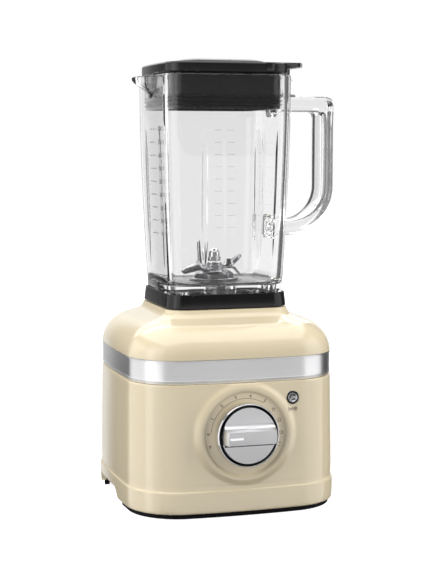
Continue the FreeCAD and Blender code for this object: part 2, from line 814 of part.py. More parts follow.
def button_bezel():
    flange = rod_y(BEZEL_R, BUTTON_SURFACE_Y - 1.0, BUTTON_SURFACE_Y + 0.95, BUTTON_X, BUTTON_Z)
    shank = rod_y(5.7, BUTTON_SURFACE_Y, -91.5, BUTTON_X, BUTTON_Z)
    bore = rod_y(BUTTON_R + 0.1, -110.0, -93.0, BUTTON_X, BUTTON_Z)
    hole = rod_y(2.0 + 0.08, -96.0, -90.0, BUTTON_X, BUTTON_Z)
    return cut(flange.fuse(shank), [bore, hole])


def button_cap():
    front = BUTTON_SURFACE_Y - 1.0
    cap = rod_y(BUTTON_R, front, front + 4.2, BUTTON_X, BUTTON_Z)
    dish = Part.makeSphere(16.0, V(BUTTON_X, front - 15.2, BUTTON_Z))
    dot = rod_y(0.9, front - 0.1, front + 2.0, BUTTON_X, BUTTON_Z)
    stem = rod_y(2.0, front + 4.0, -86.2, BUTTON_X, BUTTON_Z)
    clip = rod_y(3.0, -91.3, -90.3, BUTTON_X, BUTTON_Z)
    return fuse([cap.cut(dish), dot, stem, clip])


def button_spring():
    """Rubber bellows between the button and the bezel's inner flange, which pushes it out."""
    start = BUTTON_SURFACE_Y + 3.6
    end = -93.4
    folds = 6
    thick = 0.4
    outer = []
    for step in range(folds + 1):
        radius = 4.0 if step % 2 else 3.0
        outer.append((radius, start + (end - start) * step / folds))
    inner = [(radius - thick, y) for radius, y in reversed(outer)]
    return revolve_y(outer + inner, BUTTON_X, BUTTON_Z)


def knob_cup():
    """Bright outer wall of the dial, with a deep groove inside it."""
    back = DIAL_FLOOR_Y - 0.5
    profile = [
        (4.0, back), (CUP_R - 0.3, back), (CUP_R, back - 0.6), (CUP_R - 0.2, CUP_FRONT_Y + 0.8),
        (CUP_R - 0.9, CUP_FRONT_Y), (CUP_R - 1.6, CUP_FRONT_Y + 0.5), (CUP_R - 1.8, back - 2.4),
        (4.0, back - 2.4)]
    return revolve_y(profile, 0, DIAL_Z)


def knob_face():
    """Brushed disc with the finger bar across it."""
    back = DIAL_FLOOR_Y - 3.0
    profile = [
        (4.0, back), (FACE_R, back), (FACE_R, FACE_FRONT_Y + 0.7), (FACE_R - 0.7, FACE_FRONT_Y),
        (0.0, FACE_FRONT_Y), (0.0, FACE_FRONT_Y + 3.0), (4.0, FACE_FRONT_Y + 3.0)]
    disc = revolve_y(profile, 0, DIAL_Z)
    half_l = GRIP_LENGTH / 2
    half_h = GRIP_HEIGHT / 2
    bar = box((-half_l, GRIP_FRONT_Y, DIAL_Z - half_h), (half_l, FACE_FRONT_Y + 1, DIAL_Z + half_h))
    front_edges = [e for e in bar.Edges if abs(e.CenterOfMass.y - GRIP_FRONT_Y) < 0.01]
    bar = bar.makeFillet(1.6, front_edges)
    bar = bar.common(rod_y(FACE_R, GRIP_FRONT_Y - 1, FACE_FRONT_Y + 1, 0, DIAL_Z))
    pointer = box((-23.0, GRIP_FRONT_Y - 0.4, DIAL_Z - 0.9), (-15.0, GRIP_FRONT_Y + 1, DIAL_Z + 0.9))
    return fuse([disc, bar, pointer])


def knob_shaft():
    long_part = rod_y(KNOB_SHAFT_R, -107.0, -89.0, 0, DIAL_Z)
    boss = rod_y(3.9, -112.8, -105.4, 0, DIAL_Z)
    return long_part.fuse(boss)


# ---------------------------------------------------------------- jar

def glass_half(z):
    """Outer half width of the jar: it widens quickly at first, then slowly."""
    rise = (z - GLASS_BOTTOM) / (GLASS_TOP - GLASS_BOTTOM)
    return GLASS_LOW_HALF + 6.6 * math.sin(rise * math.pi / 2) ** 0.9


def glass_outline(z, by=0.0):
    return (glass_half(z) - by, 19.0 - by * 0.9, 0.9, 0.9)


def handle_profile():
    """Side view of the handle, from the jar's wall out and back."""
    t = HANDLE_THICK / 2
    root = 59.0
    top = HANDLE_TOP_Z
    out = HANDLE_X
    bend = HANDLE_BEND_Z
    centre = V(out - HANDLE_BEND_R, 0, bend)
    far = HANDLE_BEND_R + t
    near = HANDLE_BEND_R - t
    slant = math.sqrt(0.5)
    tip_r = 10.0
    inner_r = 4.0
    low = bend - HANDLE_BEND_R
    tip_c = V(out + t - tip_r, 0, top + t - tip_r)
    fold_c = V(out - t - inner_r, 0, top - t - inner_r)
    edges = [
        Part.LineSegment(V(root, 0, top + t), V(tip_c.x, 0, top + t)),
        Part.Arc(V(tip_c.x, 0, top + t), tip_c + V(slant, 0, slant) * tip_r, V(out + t, 0, tip_c.z)),
        Part.LineSegment(V(out + t, 0, tip_c.z), V(out + t, 0, bend)),
        Part.Arc(V(out + t, 0, bend), centre + V(slant, 0, -slant) * far, V(centre.x, 0, low - t)),
        Part.LineSegment(V(centre.x, 0, low - t), V(root, 0, low - t)),
        Part.LineSegment(V(root, 0, low - t), V(root, 0, low + t)),
        Part.LineSegment(V(root, 0, low + t), V(centre.x, 0, low + t)),
        Part.Arc(V(centre.x, 0, low + t), centre + V(slant, 0, -slant) * near, V(out - t, 0, bend)),
        Part.LineSegment(V(out - t, 0, bend), V(out - t, 0, fold_c.z)),
        Part.Arc(V(out - t, 0, fold_c.z), fold_c + V(slant, 0, slant) * inner_r, V(fold_c.x, 0, top - t)),
        Part.LineSegment(V(fold_c.x, 0, top - t), V(root, 0, top - t)),
        Part.LineSegment(V(root, 0, top - t), V(root, 0, top + t))]
    return Part.Face(Part.Wire([edge.toShape() for edge in edges]))


def handle():
    half = HANDLE_WIDTH / 2
    face = handle_profile()
    face.translate(V(0, -half, 0))
    solid = face.extrude(V(0, HANDLE_WIDTH, 0))
    rims = []
    for edge in solid.Edges:
        centre = edge.CenterOfMass
        if abs(abs(centre.y) - half) < 0.01 and centre.x > 60.0:
            rims.append(edge)
    return solid.makeFillet(4.6, rims)


def handle_root():
    """Thick glass block between the handle's top arm and the rim."""
    block = box((56.0, -15.0, 384.0), (78.0, 15.0, 416.6))
    uprights = [e for e in block.Edges if e.CenterOfMass.x > 77 and abs(e.CenterOfMass.z - 400) < 1]
    return block.makeFillet(7.0, uprights)


def spout(by, low, high):
    """Pouring lip on the left of the rim, moved inwards by a wall thickness."""
    rows = ((low, 62.5, 7.0), (high, 82.2, 21.0))
    wires = []
    for z, reach, width in rows:
        root = -54.0
        tip = -(reach - by)
        side = width - by
        nose = Part.BSplineCurve()
        nose.interpolate([V(root, -side, z), V((root + tip) * 0.5, -side * 0.62, z), V(tip, 0, z),
                          V((root + tip) * 0.5, side * 0.62, z), V(root, side, z)])
        back = Part.LineSegment(V(root, side, z), V(root, -side, z))
        wires.append(Part.Wire([nose.toShape(), back.toShape()]))
    return Part.makeLoft(wires, True, True)


def inner_ribs():
    """Upright ribs on the inside of the walls that fold food back into the blades."""
    ribs = []
    low = 236.0
    high = 362.0
    for turn, place in ((0, -26.0), (0, 26.0), (90, -26.0), (90, 26.0), (180, 26.0), (180, -26.0),
                        (270, 26.0), (270, -26.0)):
        inner = glass_half(low) - GLASS_WALL
        rib = cylinder(4.2, low, high, inner + 2.0, place)
        lean = math.degrees(math.atan2(glass_half(high) - glass_half(low), high - low))
        rib.rotate(V(inner, place, low), BACK, lean)
        rib.rotate(V(0, 0, 0), UP, turn)
        ribs.append(rib)
    return ribs


def jar_glass():
    heights = (GLASS_BOTTOM, 214.0, 232.0, 262.0, 300.0, 345.0, 385.0, GLASS_TOP)
    wall = loft([(glass_outline(z), z) for z in heights])
    lip = spout(0.0, 398.0, 414.6)
    outer = fuse([wall, lip])
    outer = outer.fuse(handle()).fuse(handle_root())
    bowl_top = 223.0
    bowl = loft([
        ((48.4, 15.5, 0.9, 0.9), GLASS_FLOOR),
        ((51.3, 15.2, 0.9, 0.9), GLASS_FLOOR + 1.6),
        (glass_outline(bowl_top - 4.0, GLASS_WALL + 0.4), bowl_top - 4.0),
        (glass_outline(bowl_top, GLASS_WALL), bowl_top)])
    inner_heights = (bowl_top - 0.5, 262.0, 300.0, 345.0, 385.0, GLASS_TOP + 2.0)
    room = bowl.fuse(loft([(glass_outline(z, GLASS_WALL), z) for z in inner_heights]))
    limit = loft([(glass_outline(z, 1.5), z) for z in heights])
    for rib in inner_ribs():
        room = room.cut(rib.common(limit))
    glass = outer.cut(room)
    glass = glass.cut(spout(3.6, 402.0, 418.0))
    return glass.cut(cylinder(STEM_R + 0.3, 200, 220))


def jar_collar():
    low_outline = (COLLAR_LOW_HALF, 21.0, 0.6, 0.6)
    top_outline = (COLLAR_TOP_HALF, 20.5, 0.6, 0.6)
    block = loft([(low_outline, COLLAR_BOTTOM), (top_outline, COLLAR_TOP)])
    pocket = prism((GLASS_LOW_HALF + 0.9, 19.6, 0.9, 0.9), GLASS_BOTTOM - 0.2, COLLAR_TOP + 1)
    under = prism(inset(low_outline, 3.0), COLLAR_BOTTOM - 1, 200.0)
    return cut(block, [pocket, under, cylinder(STEM_R + 0.3, 190, 210)])


def jar_gasket():
    return ring(24.0, STEM_R + 0.4, GLASS_FLOOR + 0.05, GLASS_FLOOR + 1.2)


def bearing_housing():
    flange = cylinder(25.0, GLASS_FLOOR + 1.25, GLASS_FLOOR + 3.5)
    edges = [e for e in flange.Edges if e.CenterOfMass.z > GLASS_FLOOR + 3.4]
    flange = flange.makeFillet(1.0, edges[:1])
    hexagon = polygon_solid(20.6, 6, GLASS_FLOOR + 3.0, HUB_TOP)
    cone = Part.makeCone(22.4, 13.4, 9.5, V(0, 0, GLASS_FLOOR + 3.0), UP)
    hexagon = hexagon.common(cone)
    stem = cylinder(STEM_R, 194.6, GLASS_FLOOR + 1.5)
    tools = [cylinder(14.4, 190.0, 208.0), cylinder(6.6, 200.0, 225.0), cylinder(4.5, 200.0, 240.0)]
    return cut(fuse([flange, hexagon, stem]), tools)


def retaining_nut():
    body = ring(27.0, STEM_R + 0.05, 195.2, 200.0)
    notches = []
    for step in range(6):
        notch = box((24.5, -2.5, 190), (29, 2.5, 198.0))
        notch.rotate(V(0, 0, 0), UP, 60 * step)
        notches.append(notch)
    return cut(body, notches)


def bush(low, high):
    return ring(6.55, BLADE_SHAFT_R + RUNNING_GAP, low, high)


def shaft_seal():
    return ring(6.5, BLADE_SHAFT_R + RUNNING_GAP, 215.2, 218.6)


# ---------------------------------------------------------------- blades

def blade_shaft():
    body = cylinder(BLADE_SHAFT_R, 204.2, 232.6)
    thread = cylinder(2.9, 232.0, 242.0)
    return body.fuse(thread)


def blade_section(x, half, roll, pivot):
    """Rectangle across an arm, rolled about one of the arm's long edges."""
    corners = [V(x, -half, 0), V(x, half, 0), V(x, half, BLADE_THICK), V(x, -half, BLADE_THICK)]
    wire = Part.makePolygon(corners + corners[:1])
    wire.rotate(V(0, pivot, 0), V(1, 0, 0), roll)
    return wire


def blade_arm(azimuth, base_z, root, reach, width, roll, bend, tip_length, tip_width):
    """Flat root, a twist, a rolled plate out to reach, and a bent and tapered cutting tip."""
    half = width / 2
    pivot = -half if roll > 0 else half
    twist = 4.0
    flat = box((0, -half, 0), (root, half, BLADE_THICK))
    sections = [blade_section(root - 0.1, half, 0.0, pivot), blade_section(root + twist, half, roll, pivot)]
    neck = Part.makeLoft(sections, True, True)
    plate = box((root + twist - 0.1, -half, 0), (reach, half, BLADE_THICK))
    points = [V(0, -half, 0), V(tip_length * 0.72, half - tip_width, 0),
              V(tip_length, half - tip_width * 0.55, 0), V(tip_length * 0.93, half, 0), V(0, half, 0)]
    tip = Part.Face(Part.makePolygon(points + points[:1])).extrude(V(0, 0, BLADE_THICK))
    tip.rotate(V(0, 0, 0), BACK, -bend)
    tip.translate(V(reach - 0.4, 0, 0.0 if bend < 0 else 0.1))
    knuckle = Part.makeCylinder(BLADE_THICK / 2, width, V(reach - 0.2, -half, BLADE_THICK / 2), BACK)
    outer = fuse([plate, tip, knuckle])
    outer.rotate(V(0, pivot, 0), V(1, 0, 0), roll)
    arm = fuse([flat, neck, outer])
    arm.translate(V(0, 0, base_z))
    arm.rotate(V(0, 0, 0), UP, azimuth)
    return arm


def blade_pair(base_z, first, second):
    hub = cylinder(9.5, base_z, base_z + BLADE_THICK)
    shape = fuse([hub, blade_arm(*first), blade_arm(*second)])
    return shape.cut(cylinder(BLADE_SHAFT_R + 0.02, base_z - 5, base_z + 10))


def lower_blade():
    left = (196.0, LOWER_BLADE_Z, 12.0, 18.0, 13.0, -20.0, -16.0, 23.0, 9.5)
    right = (12.0, LOWER_BLADE_Z, 12.0, 20.0, 11.0, 10.0, -42.0, 17.0, 8.0)
    return blade_pair(LOWER_BLADE_Z, left, right)


def upper_blade():
    left = (130.0, UPPER_BLADE_Z, 8.5, 15.0, 10.0, -4.0, 84.0, 24.5, 6.0)
    right = (-16.0, UPPER_BLADE_Z, 8.5, 17.0, 11.0, 34.0, 40.0, 13.0, 8.0)
    return blade_pair(UPPER_BLADE_Z, left, right)


def blade_washer():
    return ring(8.0, BLADE_SHAFT_R + 0.02, UPPER_BLADE_Z + BLADE_THICK + 0.02, 232.8)


def acorn_nut():
    hexagon = polygon_solid(6.6, 6, NUT_BOTTOM, 239.6)
    dome = Part.makeSphere(5.5, V(0, 0, 242.0)).fuse(cylinder(5.5, 239.0, 242.0))
    flange = cylinder(7.4, NUT_BOTTOM, NUT_BOTTOM + 1.2)
    return fuse([hexagon, dome, flange]).cut(cylinder(2.95, 230.0, 242.3))


def driven_coupling():
    """Socket on the lower end of the blade shaft that drops over the drive star."""
    body = cylinder(13.9, 195.4, 207.4)
    socket = lobed(9.2, 2.2, 6, 190.0, 203.6, 0.5)
    return cut(body, [socket, cylinder(BLADE_SHAFT_R + 0.02, 204.1, 210.0)])


# ---------------------------------------------------------------- lid

def lid_tab():
    """Lifting tab: wide where it leaves the lid's corners, narrow at its raised tip."""
    root = 46.0
    root_half = 61.0
    tip_half = 14.0
    low = LID_TOP - LID_TAB_THICK
    level = 60.0
    rise = 2.8
    side = Part.makePolygon([V(root, 0, low), V(level, 0, low), V(LID_TAB_X, 0, low + rise),
                             V(LID_TAB_X, 0, LID_TOP + rise), V(level, 0, LID_TOP), V(root, 0, LID_TOP),
                             V(root, 0, low)])
    slab = Part.Face(side).extrude(V(0, 2 * root_half, 0))
    slab.translate(V(0, -root_half, 0))
    plan = Part.makePolygon([V(root, -root_half, 0), V(LID_TAB_X, -tip_half, 0), V(LID_TAB_X, tip_half, 0),
                             V(root, root_half, 0), V(root, -root_half, 0)])
    plate = Part.Face(plan).extrude(V(0, 0, 20.0))
    uprights = [e for e in plate.Edges if e.CenterOfMass.x > LID_TAB_X - 0.1
                and abs(e.CenterOfMass.z - 10.0) < 0.1]
    plate = plate.makeFillet(18.0, uprights)
    plate.translate(V(0, 0, low - 2.0))
    return slab.common(plate)


def lid_shell():
    rim_outline = (LID_HALF, LID_CORNER, LID_BOW, LID_BOW)
    edge = 1.4
    rim = prism(rim_outline, LID_BOTTOM, LID_TOP - edge)
    crown = loft([(rim_outline, LID_TOP - edge), (inset(rim_outline, 0.5), LID_TOP - 0.5),
                  (inset(rim_outline, edge + 0.4), LID_TOP)])
    tab = lid_tab()
    web = box((50.0, -15.0, 419.0), (77.0, 15.0, 424.0))
    uprights = [e for e in web.Edges if e.CenterOfMass.x > 76 and abs(e.CenterOfMass.z - 421.5) < 0.1]
    web = web.makeFillet(9.0, uprights)
    plug_outline = (PLUG_HALF, 15.0, 0.8, 0.8)
    plug = prism(plug_outline, PLUG_BOTTOM, LID_BOTTOM + 1)
    hollow = prism(inset(plug_outline, 3.0), PLUG_BOTTOM - 1, LID_TOP - 4.0)
    tube_outline = (34.0, 12.0, 0.8, 0.8)
    tube = prism(tube_outline, PLUG_BOTTOM + 6.0, LID_TOP - 2.0)
    shell = fuse([rim, crown, tab, web, plug]).cut(hollow).fuse(tube)
    filler = prism(inset(tube_outline, 2.6), PLUG_BOTTOM - 1, LID_TOP + 5)
    groove = prism(inset(plug_outline, -5), 386.0, 397.0).cut(prism(inset(plug_outline, 1.6), 380, 400))
    return cut(shell, [filler, groove])


def lid_seal():
    """Rubber sleeve on the plug with three lips that press on the glass."""
    plug_outline = (PLUG_HALF, 15.0, 0.8, 0.8)
    sleeve = prism(plug_outline, 386.1, 396.9)
    lips = []
    for z in (387.4, 391.1, 394.8):
        lips.append(prism(inset(plug_outline, -1.9), z, z + 1.2))
    return fuse([sleeve] + lips).cut(prism(inset(plug_outline, 1.5), 380, 400))


def lid_cap():
    """Removable middle of the lid: a shallow crown over a cup that fills the filler hole."""
    flat_outline = (CAP_HALF, 20.0, 2.0, 2.0)
    crown = loft([(flat_outline, LID_TOP + GAP), (inset(flat_outline, 0.6), LID_TOP + 1.8),
                  (inset(flat_outline, 6.0), CAP_TOP - 0.8), (inset(flat_outline, 14.0), CAP_TOP)])
    cup_outline = (30.9, 9.0, 0.8, 0.8)
    cup = prism(cup_outline, 396.0, LID_TOP + 1)
    return crown.fuse(cup).cut(prism(inset(cup_outline, 2.6), 390, LID_TOP - 1))


# ---------------------------------------------------------------- output

NODES = {
    "lower_housing": lower_housing,
    "upper_housing": upper_housing,
    "trim_band": trim_band,
    "jar_seat_pad": jar_seat_pad,
    "coupling_guard": coupling_guard,
    "bottom_plate": bottom_plate,
    "rubber_feet": rubber_feet,
    "bottom_screws": bottom_screws,
    "housing_screws": housing_screws,
    "cord_gland": cord_gland,
    "motor_stator": motor_stator,
    "field_coils": field_coils,
    "motor_lower_bracket": motor_lower_bracket,
    "motor_upper_bracket": motor_upper_bracket,
    "motor_bolts": motor_bolts,
    "motor_mounts": motor_mounts,
    "stator_spacers": stator_spacers,
    "lower_bearing": lambda: ball_bearing(LOWER_BEARING_Z),
    "upper_bearing": lambda: ball_bearing(UPPER_BEARING_Z),
    "fan_shroud": fan_shroud,
    "brush_ring": brush_ring,
    "brush_holders": brush_holders,
    "carbon_brushes": carbon_brushes,
    "brush_springs": brush_springs,
    "motor_shaft": motor_shaft,
    "rotor_core": rotor_core,
    "rotor_windings": rotor_windings,
    "commutator": commutator,
    "cooling_fan": cooling_fan,
    "drive_coupling": drive_coupling,
    "rotary_encoder": rotary_encoder,
    "control_board": control_board,
    "board_standoffs": board_standoffs,
    "heat_sink": heat_sink,
    "power_switch_chip": power_switch_chip,
    "switch_board": switch_board,
    "start_switch": start_switch,
    "status_lamp": status_lamp,
    "button_bezel": button_bezel,
    "button_cap": button_cap,
    "button_spring": button_spring,
    "knob_cup": knob_cup,
    "knob_face": knob_face,
    "knob_shaft": knob_shaft,
    "jar_glass": jar_glass,
    "jar_collar": jar_collar,
    "jar_gasket": jar_gasket,
    "bearing_housing": bearing_housing,
    "blade_bushes": lambda: group([bush(208.4, 214.9), bush(218.9, 224.9)]),
    "shaft_seal": shaft_seal,
    "retaining_nut": retaining_nut,
    "blade_shaft": blade_shaft,
    "lower_blade": lower_blade,
    "upper_blade": upper_blade,
    "blade_washer": blade_washer,
    "acorn_nut": acorn_nut,
    "driven_coupling": driven_coupling,
    "lid_shell": lid_shell,
    "lid_seal": lid_seal,
    "lid_cap": lid_cap,
}

os.makedirs("parts", exist_ok=True)
for name, make in NODES.items():
    shape = make()
    print(name, "solids", len(shape.Solids), "valid", shape.isValid(), "mm3", round(shape.Volume))
    shape.exportStep("parts/" + name + ".step")
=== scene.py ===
import math

import bmesh
import bpy
import numpy as np
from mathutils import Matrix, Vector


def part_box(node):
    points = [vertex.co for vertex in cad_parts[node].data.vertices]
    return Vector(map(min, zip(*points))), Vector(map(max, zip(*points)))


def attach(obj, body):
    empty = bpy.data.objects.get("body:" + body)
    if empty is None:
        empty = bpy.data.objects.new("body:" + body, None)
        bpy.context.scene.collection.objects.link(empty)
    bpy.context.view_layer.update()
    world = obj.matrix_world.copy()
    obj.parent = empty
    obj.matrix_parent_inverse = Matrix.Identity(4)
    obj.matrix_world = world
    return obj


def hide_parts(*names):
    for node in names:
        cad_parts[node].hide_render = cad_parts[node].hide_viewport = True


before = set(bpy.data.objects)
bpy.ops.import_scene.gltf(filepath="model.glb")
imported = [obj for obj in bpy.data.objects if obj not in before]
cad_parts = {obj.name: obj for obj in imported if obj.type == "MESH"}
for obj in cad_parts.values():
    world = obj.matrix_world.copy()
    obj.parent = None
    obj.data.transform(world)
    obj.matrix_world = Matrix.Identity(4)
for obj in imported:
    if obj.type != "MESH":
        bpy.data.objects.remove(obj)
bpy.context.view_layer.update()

# Countertop blender: painted base with a brushed band and a dial, square glass jar, black lid.
# Shapes are worked out in millimetres in the frame of the CAD model, and scaled as a mesh is made.
MM = 0.001
TURN = 2 * math.pi


def box_mm(node):
    """Lowest and highest corner of a CAD node, in millimetres."""
    low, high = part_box(node)
    return np.array(low) / MM, np.array(high) / MM


BODY_LOW, BODY_HIGH = box_mm("lower_housing")
NECK_LOW, NECK_HIGH = box_mm("upper_housing")
BAND_LOW, BAND_HIGH = box_mm("trim_band")
CUP_LOW, CUP_HIGH = box_mm("knob_cup")
FACE_LOW, FACE_HIGH = box_mm("knob_face")
BEZEL_LOW, BEZEL_HIGH = box_mm("button_bezel")
CAP_LOW, CAP_HIGH = box_mm("button_cap")
COLLAR_LOW, COLLAR_HIGH = box_mm("jar_collar")
GLASS_LOW, GLASS_HIGH = box_mm("jar_glass")
LID_LOW, LID_HIGH = box_mm("lid_shell")
# The tip of the lifting tab stands this much higher than the flat of the lid.
TAB_LIFT = 2.8
LID_TOP = LID_HIGH[2] - TAB_LIFT
CROWN_LOW, CROWN_HIGH = box_mm("lid_cap")
SEAL_LOW, SEAL_HIGH = box_mm("lid_seal")
NUT_LOW, NUT_HIGH = box_mm("acorn_nut")
WASHER_LOW, WASHER_HIGH = box_mm("blade_washer")
HUB_LOW, HUB_HIGH = box_mm("bearing_housing")
GLAND_LOW, GLAND_HIGH = box_mm("cord_gland")

# An outline is a rounded square with bowed sides: half width, corner radius, how far the left
# and right sides bow out, and how far the front and back sides bow out.
BAND_CORNER = 51.0
BAND_BOWS = (6.3, 8.5)
BODY_HALVES = (BODY_HIGH[0] - 1.0, BODY_HIGH[0] - 1.5, BODY_HIGH[0] - 2.2)
BODY_LEVELS = (30.0, 80.0, 127.9)
SPIGOT_HALF = 100.9
SPIGOT_TOP = BODY_HIGH[2]
WALL = 3.0
SPIGOT = (SPIGOT_HALF, BAND_CORNER, *BAND_BOWS)
THROAT = (SPIGOT_HALF - WALL, BAND_CORNER - WALL, *BAND_BOWS)

SHOULDER_CENTRE = 68.0
SHOULDER_START = 150.0
SHOULDER_RISE = 33.0
NECK_CENTRE = (71.3, 194.2)
NECK_RADIUS = 9.8
NECK_HALF = 61.5
NECK_CORNER = 21.0
NECK_BOW = 0.4
NECK_TOP = NECK_HIGH[2]

DIAL_X = (CUP_LOW[0] + CUP_HIGH[0]) / 2
DIAL_Z = (CUP_LOW[2] + CUP_HIGH[2]) / 2
CUP_R = (CUP_HIGH[0] - CUP_LOW[0]) / 2
FACE_R = 26.4
BOSS_CREST_R = 43.2
BOSS_FLOOR_R = 38.6
BOSS_FALL = 0.095
BOSS_SOFTNESS = 2.2
BOSS_CREST_Y = BODY_LOW[1]
DIAL_FLOOR_Y = BOSS_CREST_Y + 2.6
BUTTON_X = (CAP_LOW[0] + CAP_HIGH[0]) / 2
BUTTON_Z = (CAP_LOW[2] + CAP_HIGH[2]) / 2

GLASS_WALL = 4.6
GLASS_FLOOR = 214.0
GLASS_BOTTOM = GLASS_LOW[2]
GLASS_TOP = GLASS_HIGH[2]
GLASS_LOW_HALF = 57.4
GLASS_GROWTH = 6.6
STEM_HOLE_R = 17.6
SPOUT_START = 395.0
SPOUT_PUSH = 18.6
SPOUT_HALF_WIDTH = 25.0
RIB_PLACE = 26.0
RIB_RANGE = (236.0, 362.0)
HANDLE_OUT = GLASS_HIGH[0]
HANDLE_THICK = 15.0
HANDLE_HALF_WIDTH = 17.5
HANDLE_TOP = 397.5
HANDLE_BEND_Z = 308.5
HANDLE_BEND_R = 41.0
UPPER_BLADE_Z = WASHER_LOW[2] - 1.82
LOWER_BLADE_Z = UPPER_BLADE_Z - 2.4
BLADE_THICK = 1.8
BLADE_BORE_R = 4.05
PRINT_LINE = 0.42
PRINT_DEPTH = 0.05


# ---------------------------------------------------------------- shape helpers

def quarter(shape, sides, corners):
    """A quarter of an outline, from the middle of its +X side to the middle of its +Y side."""
    half, corner, bow_side, bow_front = shape
    side_r = (half ** 2 + bow_side ** 2) / (2 * bow_side)
    front_r = (half ** 2 + bow_front ** 2) / (2 * bow_front)
    side_c = np.array((half - side_r, 0.0))
    front_c = np.array((0.0, half - front_r))
    apart = side_c - front_c
    span = np.linalg.norm(apart)
    along = (span ** 2 + (front_r - corner) ** 2 - (side_r - corner) ** 2) / (2 * span)
    across = math.sqrt((front_r - corner) ** 2 - along ** 2)
    unit = apart / span
    normal = np.array((-unit[1], unit[0]))
    meet = front_c + unit * along
    centre = max(meet + normal * across, meet - normal * across, key=sum)
    first = math.atan2(centre[1], centre[0] - side_c[0])
    second = math.atan2(centre[1] - front_c[1], centre[0])
    points = []
    for middle, radius, start, end, count in ((side_c, side_r, 0.0, first, sides),
                                              (centre, corner, first, second, corners),
                                              (front_c, front_r, second, TURN / 4, sides)):
        for step in range(count):
            angle = start + (end - start) * step / count
            points.append(middle + radius * np.array((math.cos(angle), math.sin(angle))))
    points.append(np.array((0.0, half)))
    return np.array(points), centre, front_c, front_r


def outline(shape, z, sides, corners):
    """All round an outline at height z, anticlockwise from the middle of the +X side."""
    part = quarter(shape, sides, corners)[0]
    back = part[::-1]
    quarters = (part, back * (-1, 1), part * -1, back * (1, -1))
    flat = np.concatenate([points[:-1] for points in quarters])
    return np.column_stack([flat, np.full(len(flat), z)])


def circle(radius, z, count):
    angles = np.arange(count) * TURN / count
    return np.column_stack([radius * np.cos(angles), radius * np.sin(angles), np.full(count, z)])


def rectangle(u0, v0, u1, v1):
    return [(u0, v0), (u1, v0), (u1, v1), (u0, v1)]


def rounded(corners, steps=5, closed=True):
    """A path with round corners. Each corner is (u, v, radius)."""
    path = []
    count = len(corners)
    for index, (u, v, radius) in enumerate(corners):
        point = np.array((u, v), float)
        if radius <= 0 or (not closed and index in (0, count - 1)):
            path.append(point)
            continue
        before = np.array(corners[index - 1][:2], float) - point
        after = np.array(corners[(index + 1) % count][:2], float) - point
        room = min(np.linalg.norm(before), np.linalg.norm(after)) * 0.49
        before /= np.linalg.norm(before)
        after /= np.linalg.norm(after)
        opening = math.acos(np.clip(before @ after, -1, 1))
        reach = min(radius / math.tan(opening / 2), room)
        radius = reach * math.tan(opening / 2)
        middle = before + after
        centre = point + middle / np.linalg.norm(middle) * radius / math.sin(opening / 2)
        start = point + before * reach - centre
        end = point + after * reach - centre
        angle = math.atan2(start[1], start[0])
        sweep = (math.atan2(end[1], end[0]) - angle + math.pi) % TURN - math.pi
        for step in range(steps + 1):
            way = angle + sweep * step / steps
            path.append(centre + radius * np.array((math.cos(way), math.sin(way))))
    return path


def join_rings(rings, closed=True, capped=False):
    """Points and faces of a skin over rings of equal length.

    Closed joins the last ring to the first. Capped leaves them apart, with a face over each.
    """
    count = len(rings[0])
    faces = []
    for row in range(len(rings) - (capped or not closed)):
        low = row * count
        high = (row + 1) % len(rings) * count
        for step in range(count):
            after = (step + 1) % count
            faces.append((low + step, low + after, high + after, high + step))
    points = np.concatenate(rings)
    if capped:
        faces += [tuple(range(count)), tuple(range(len(points) - count, len(points)))]
    return points, faces


def lathe(profile, count):
    """Rings about Z from a (radius, height) profile."""
    return [circle(radius, height, count) for radius, height in profile]


def hexagon_ring(radius, z, count, corner_r, turn=0.0):
    """A circle cut back to the six flats of a hexagon with its corners at corner_r."""
    angles = np.arange(count) * TURN / count
    flats = (angles + turn) % (TURN / 6) - TURN / 12
    reach = np.minimum(radius, corner_r * math.cos(TURN / 12) / np.cos(flats))
    return np.column_stack([reach * np.cos(angles), reach * np.sin(angles), np.full(count, z)])


def turned_front(profile, x, z, count, closed=True):
    """A shape turned about an axis that runs along Y, at x and z."""
    points, faces = join_rings(lathe(profile, count), closed)
    return np.column_stack([points[:, 0] + x, points[:, 2], z - points[:, 1]]), faces


def extrude(path, low, high, plane="xz"):
    """Prism over a path. Plane xz is extruded along Y, yz along X and xy along Z."""
    path = np.array(path)
    ends = []
    for depth in (low, high):
        columns = [path[:, 0], path[:, 1]]
        columns.insert(("yz", "xz", "xy").index(plane), np.full(len(path), depth))
        ends.append(np.column_stack(columns))
    return join_rings(ends, capped=True)


def make_mesh(name, points, faces):
    """A clean mesh in metres, with its faces turned outwards."""
    mesh = bpy.data.meshes.new(name)
    faces = [tuple(int(i) for i in face) for face in faces]
    mesh.from_pydata((np.asarray(points) * MM).tolist(), [], faces)
    tidy = bmesh.new()
    tidy.from_mesh(mesh)
    bmesh.ops.remove_doubles(tidy, verts=tidy.verts, dist=1e-7)
    loose = [v for v in tidy.verts if not v.link_faces]
    bmesh.ops.delete(tidy, geom=loose, context="VERTS")
    bmesh.ops.recalc_face_normals(tidy, faces=tidy.faces)
    tidy.to_mesh(mesh)
    tidy.free()
    return mesh


def new_object(name, data):
    obj = bpy.data.objects.new(name, data)
    bpy.context.scene.collection.objects.link(obj)
    return obj


def add_object(name, points, faces):
    return new_object(name, make_mesh(name, points, faces))


def shape_of(mesh):
    """Points and faces of a mesh, in its own units."""
    points = np.array([vertex.co for vertex in mesh.vertices])
    return points, [tuple(face.vertices) for face in mesh.polygons]


def merge_shapes(shapes):
    """Several (points, faces) as one."""
    points = []
    faces = []
    start = 0
    for some, more in shapes:
        points.append(np.asarray(some))
        faces += [tuple(start + i for i in face) for face in more]
        start += len(some)
    return np.concatenate(points), faces


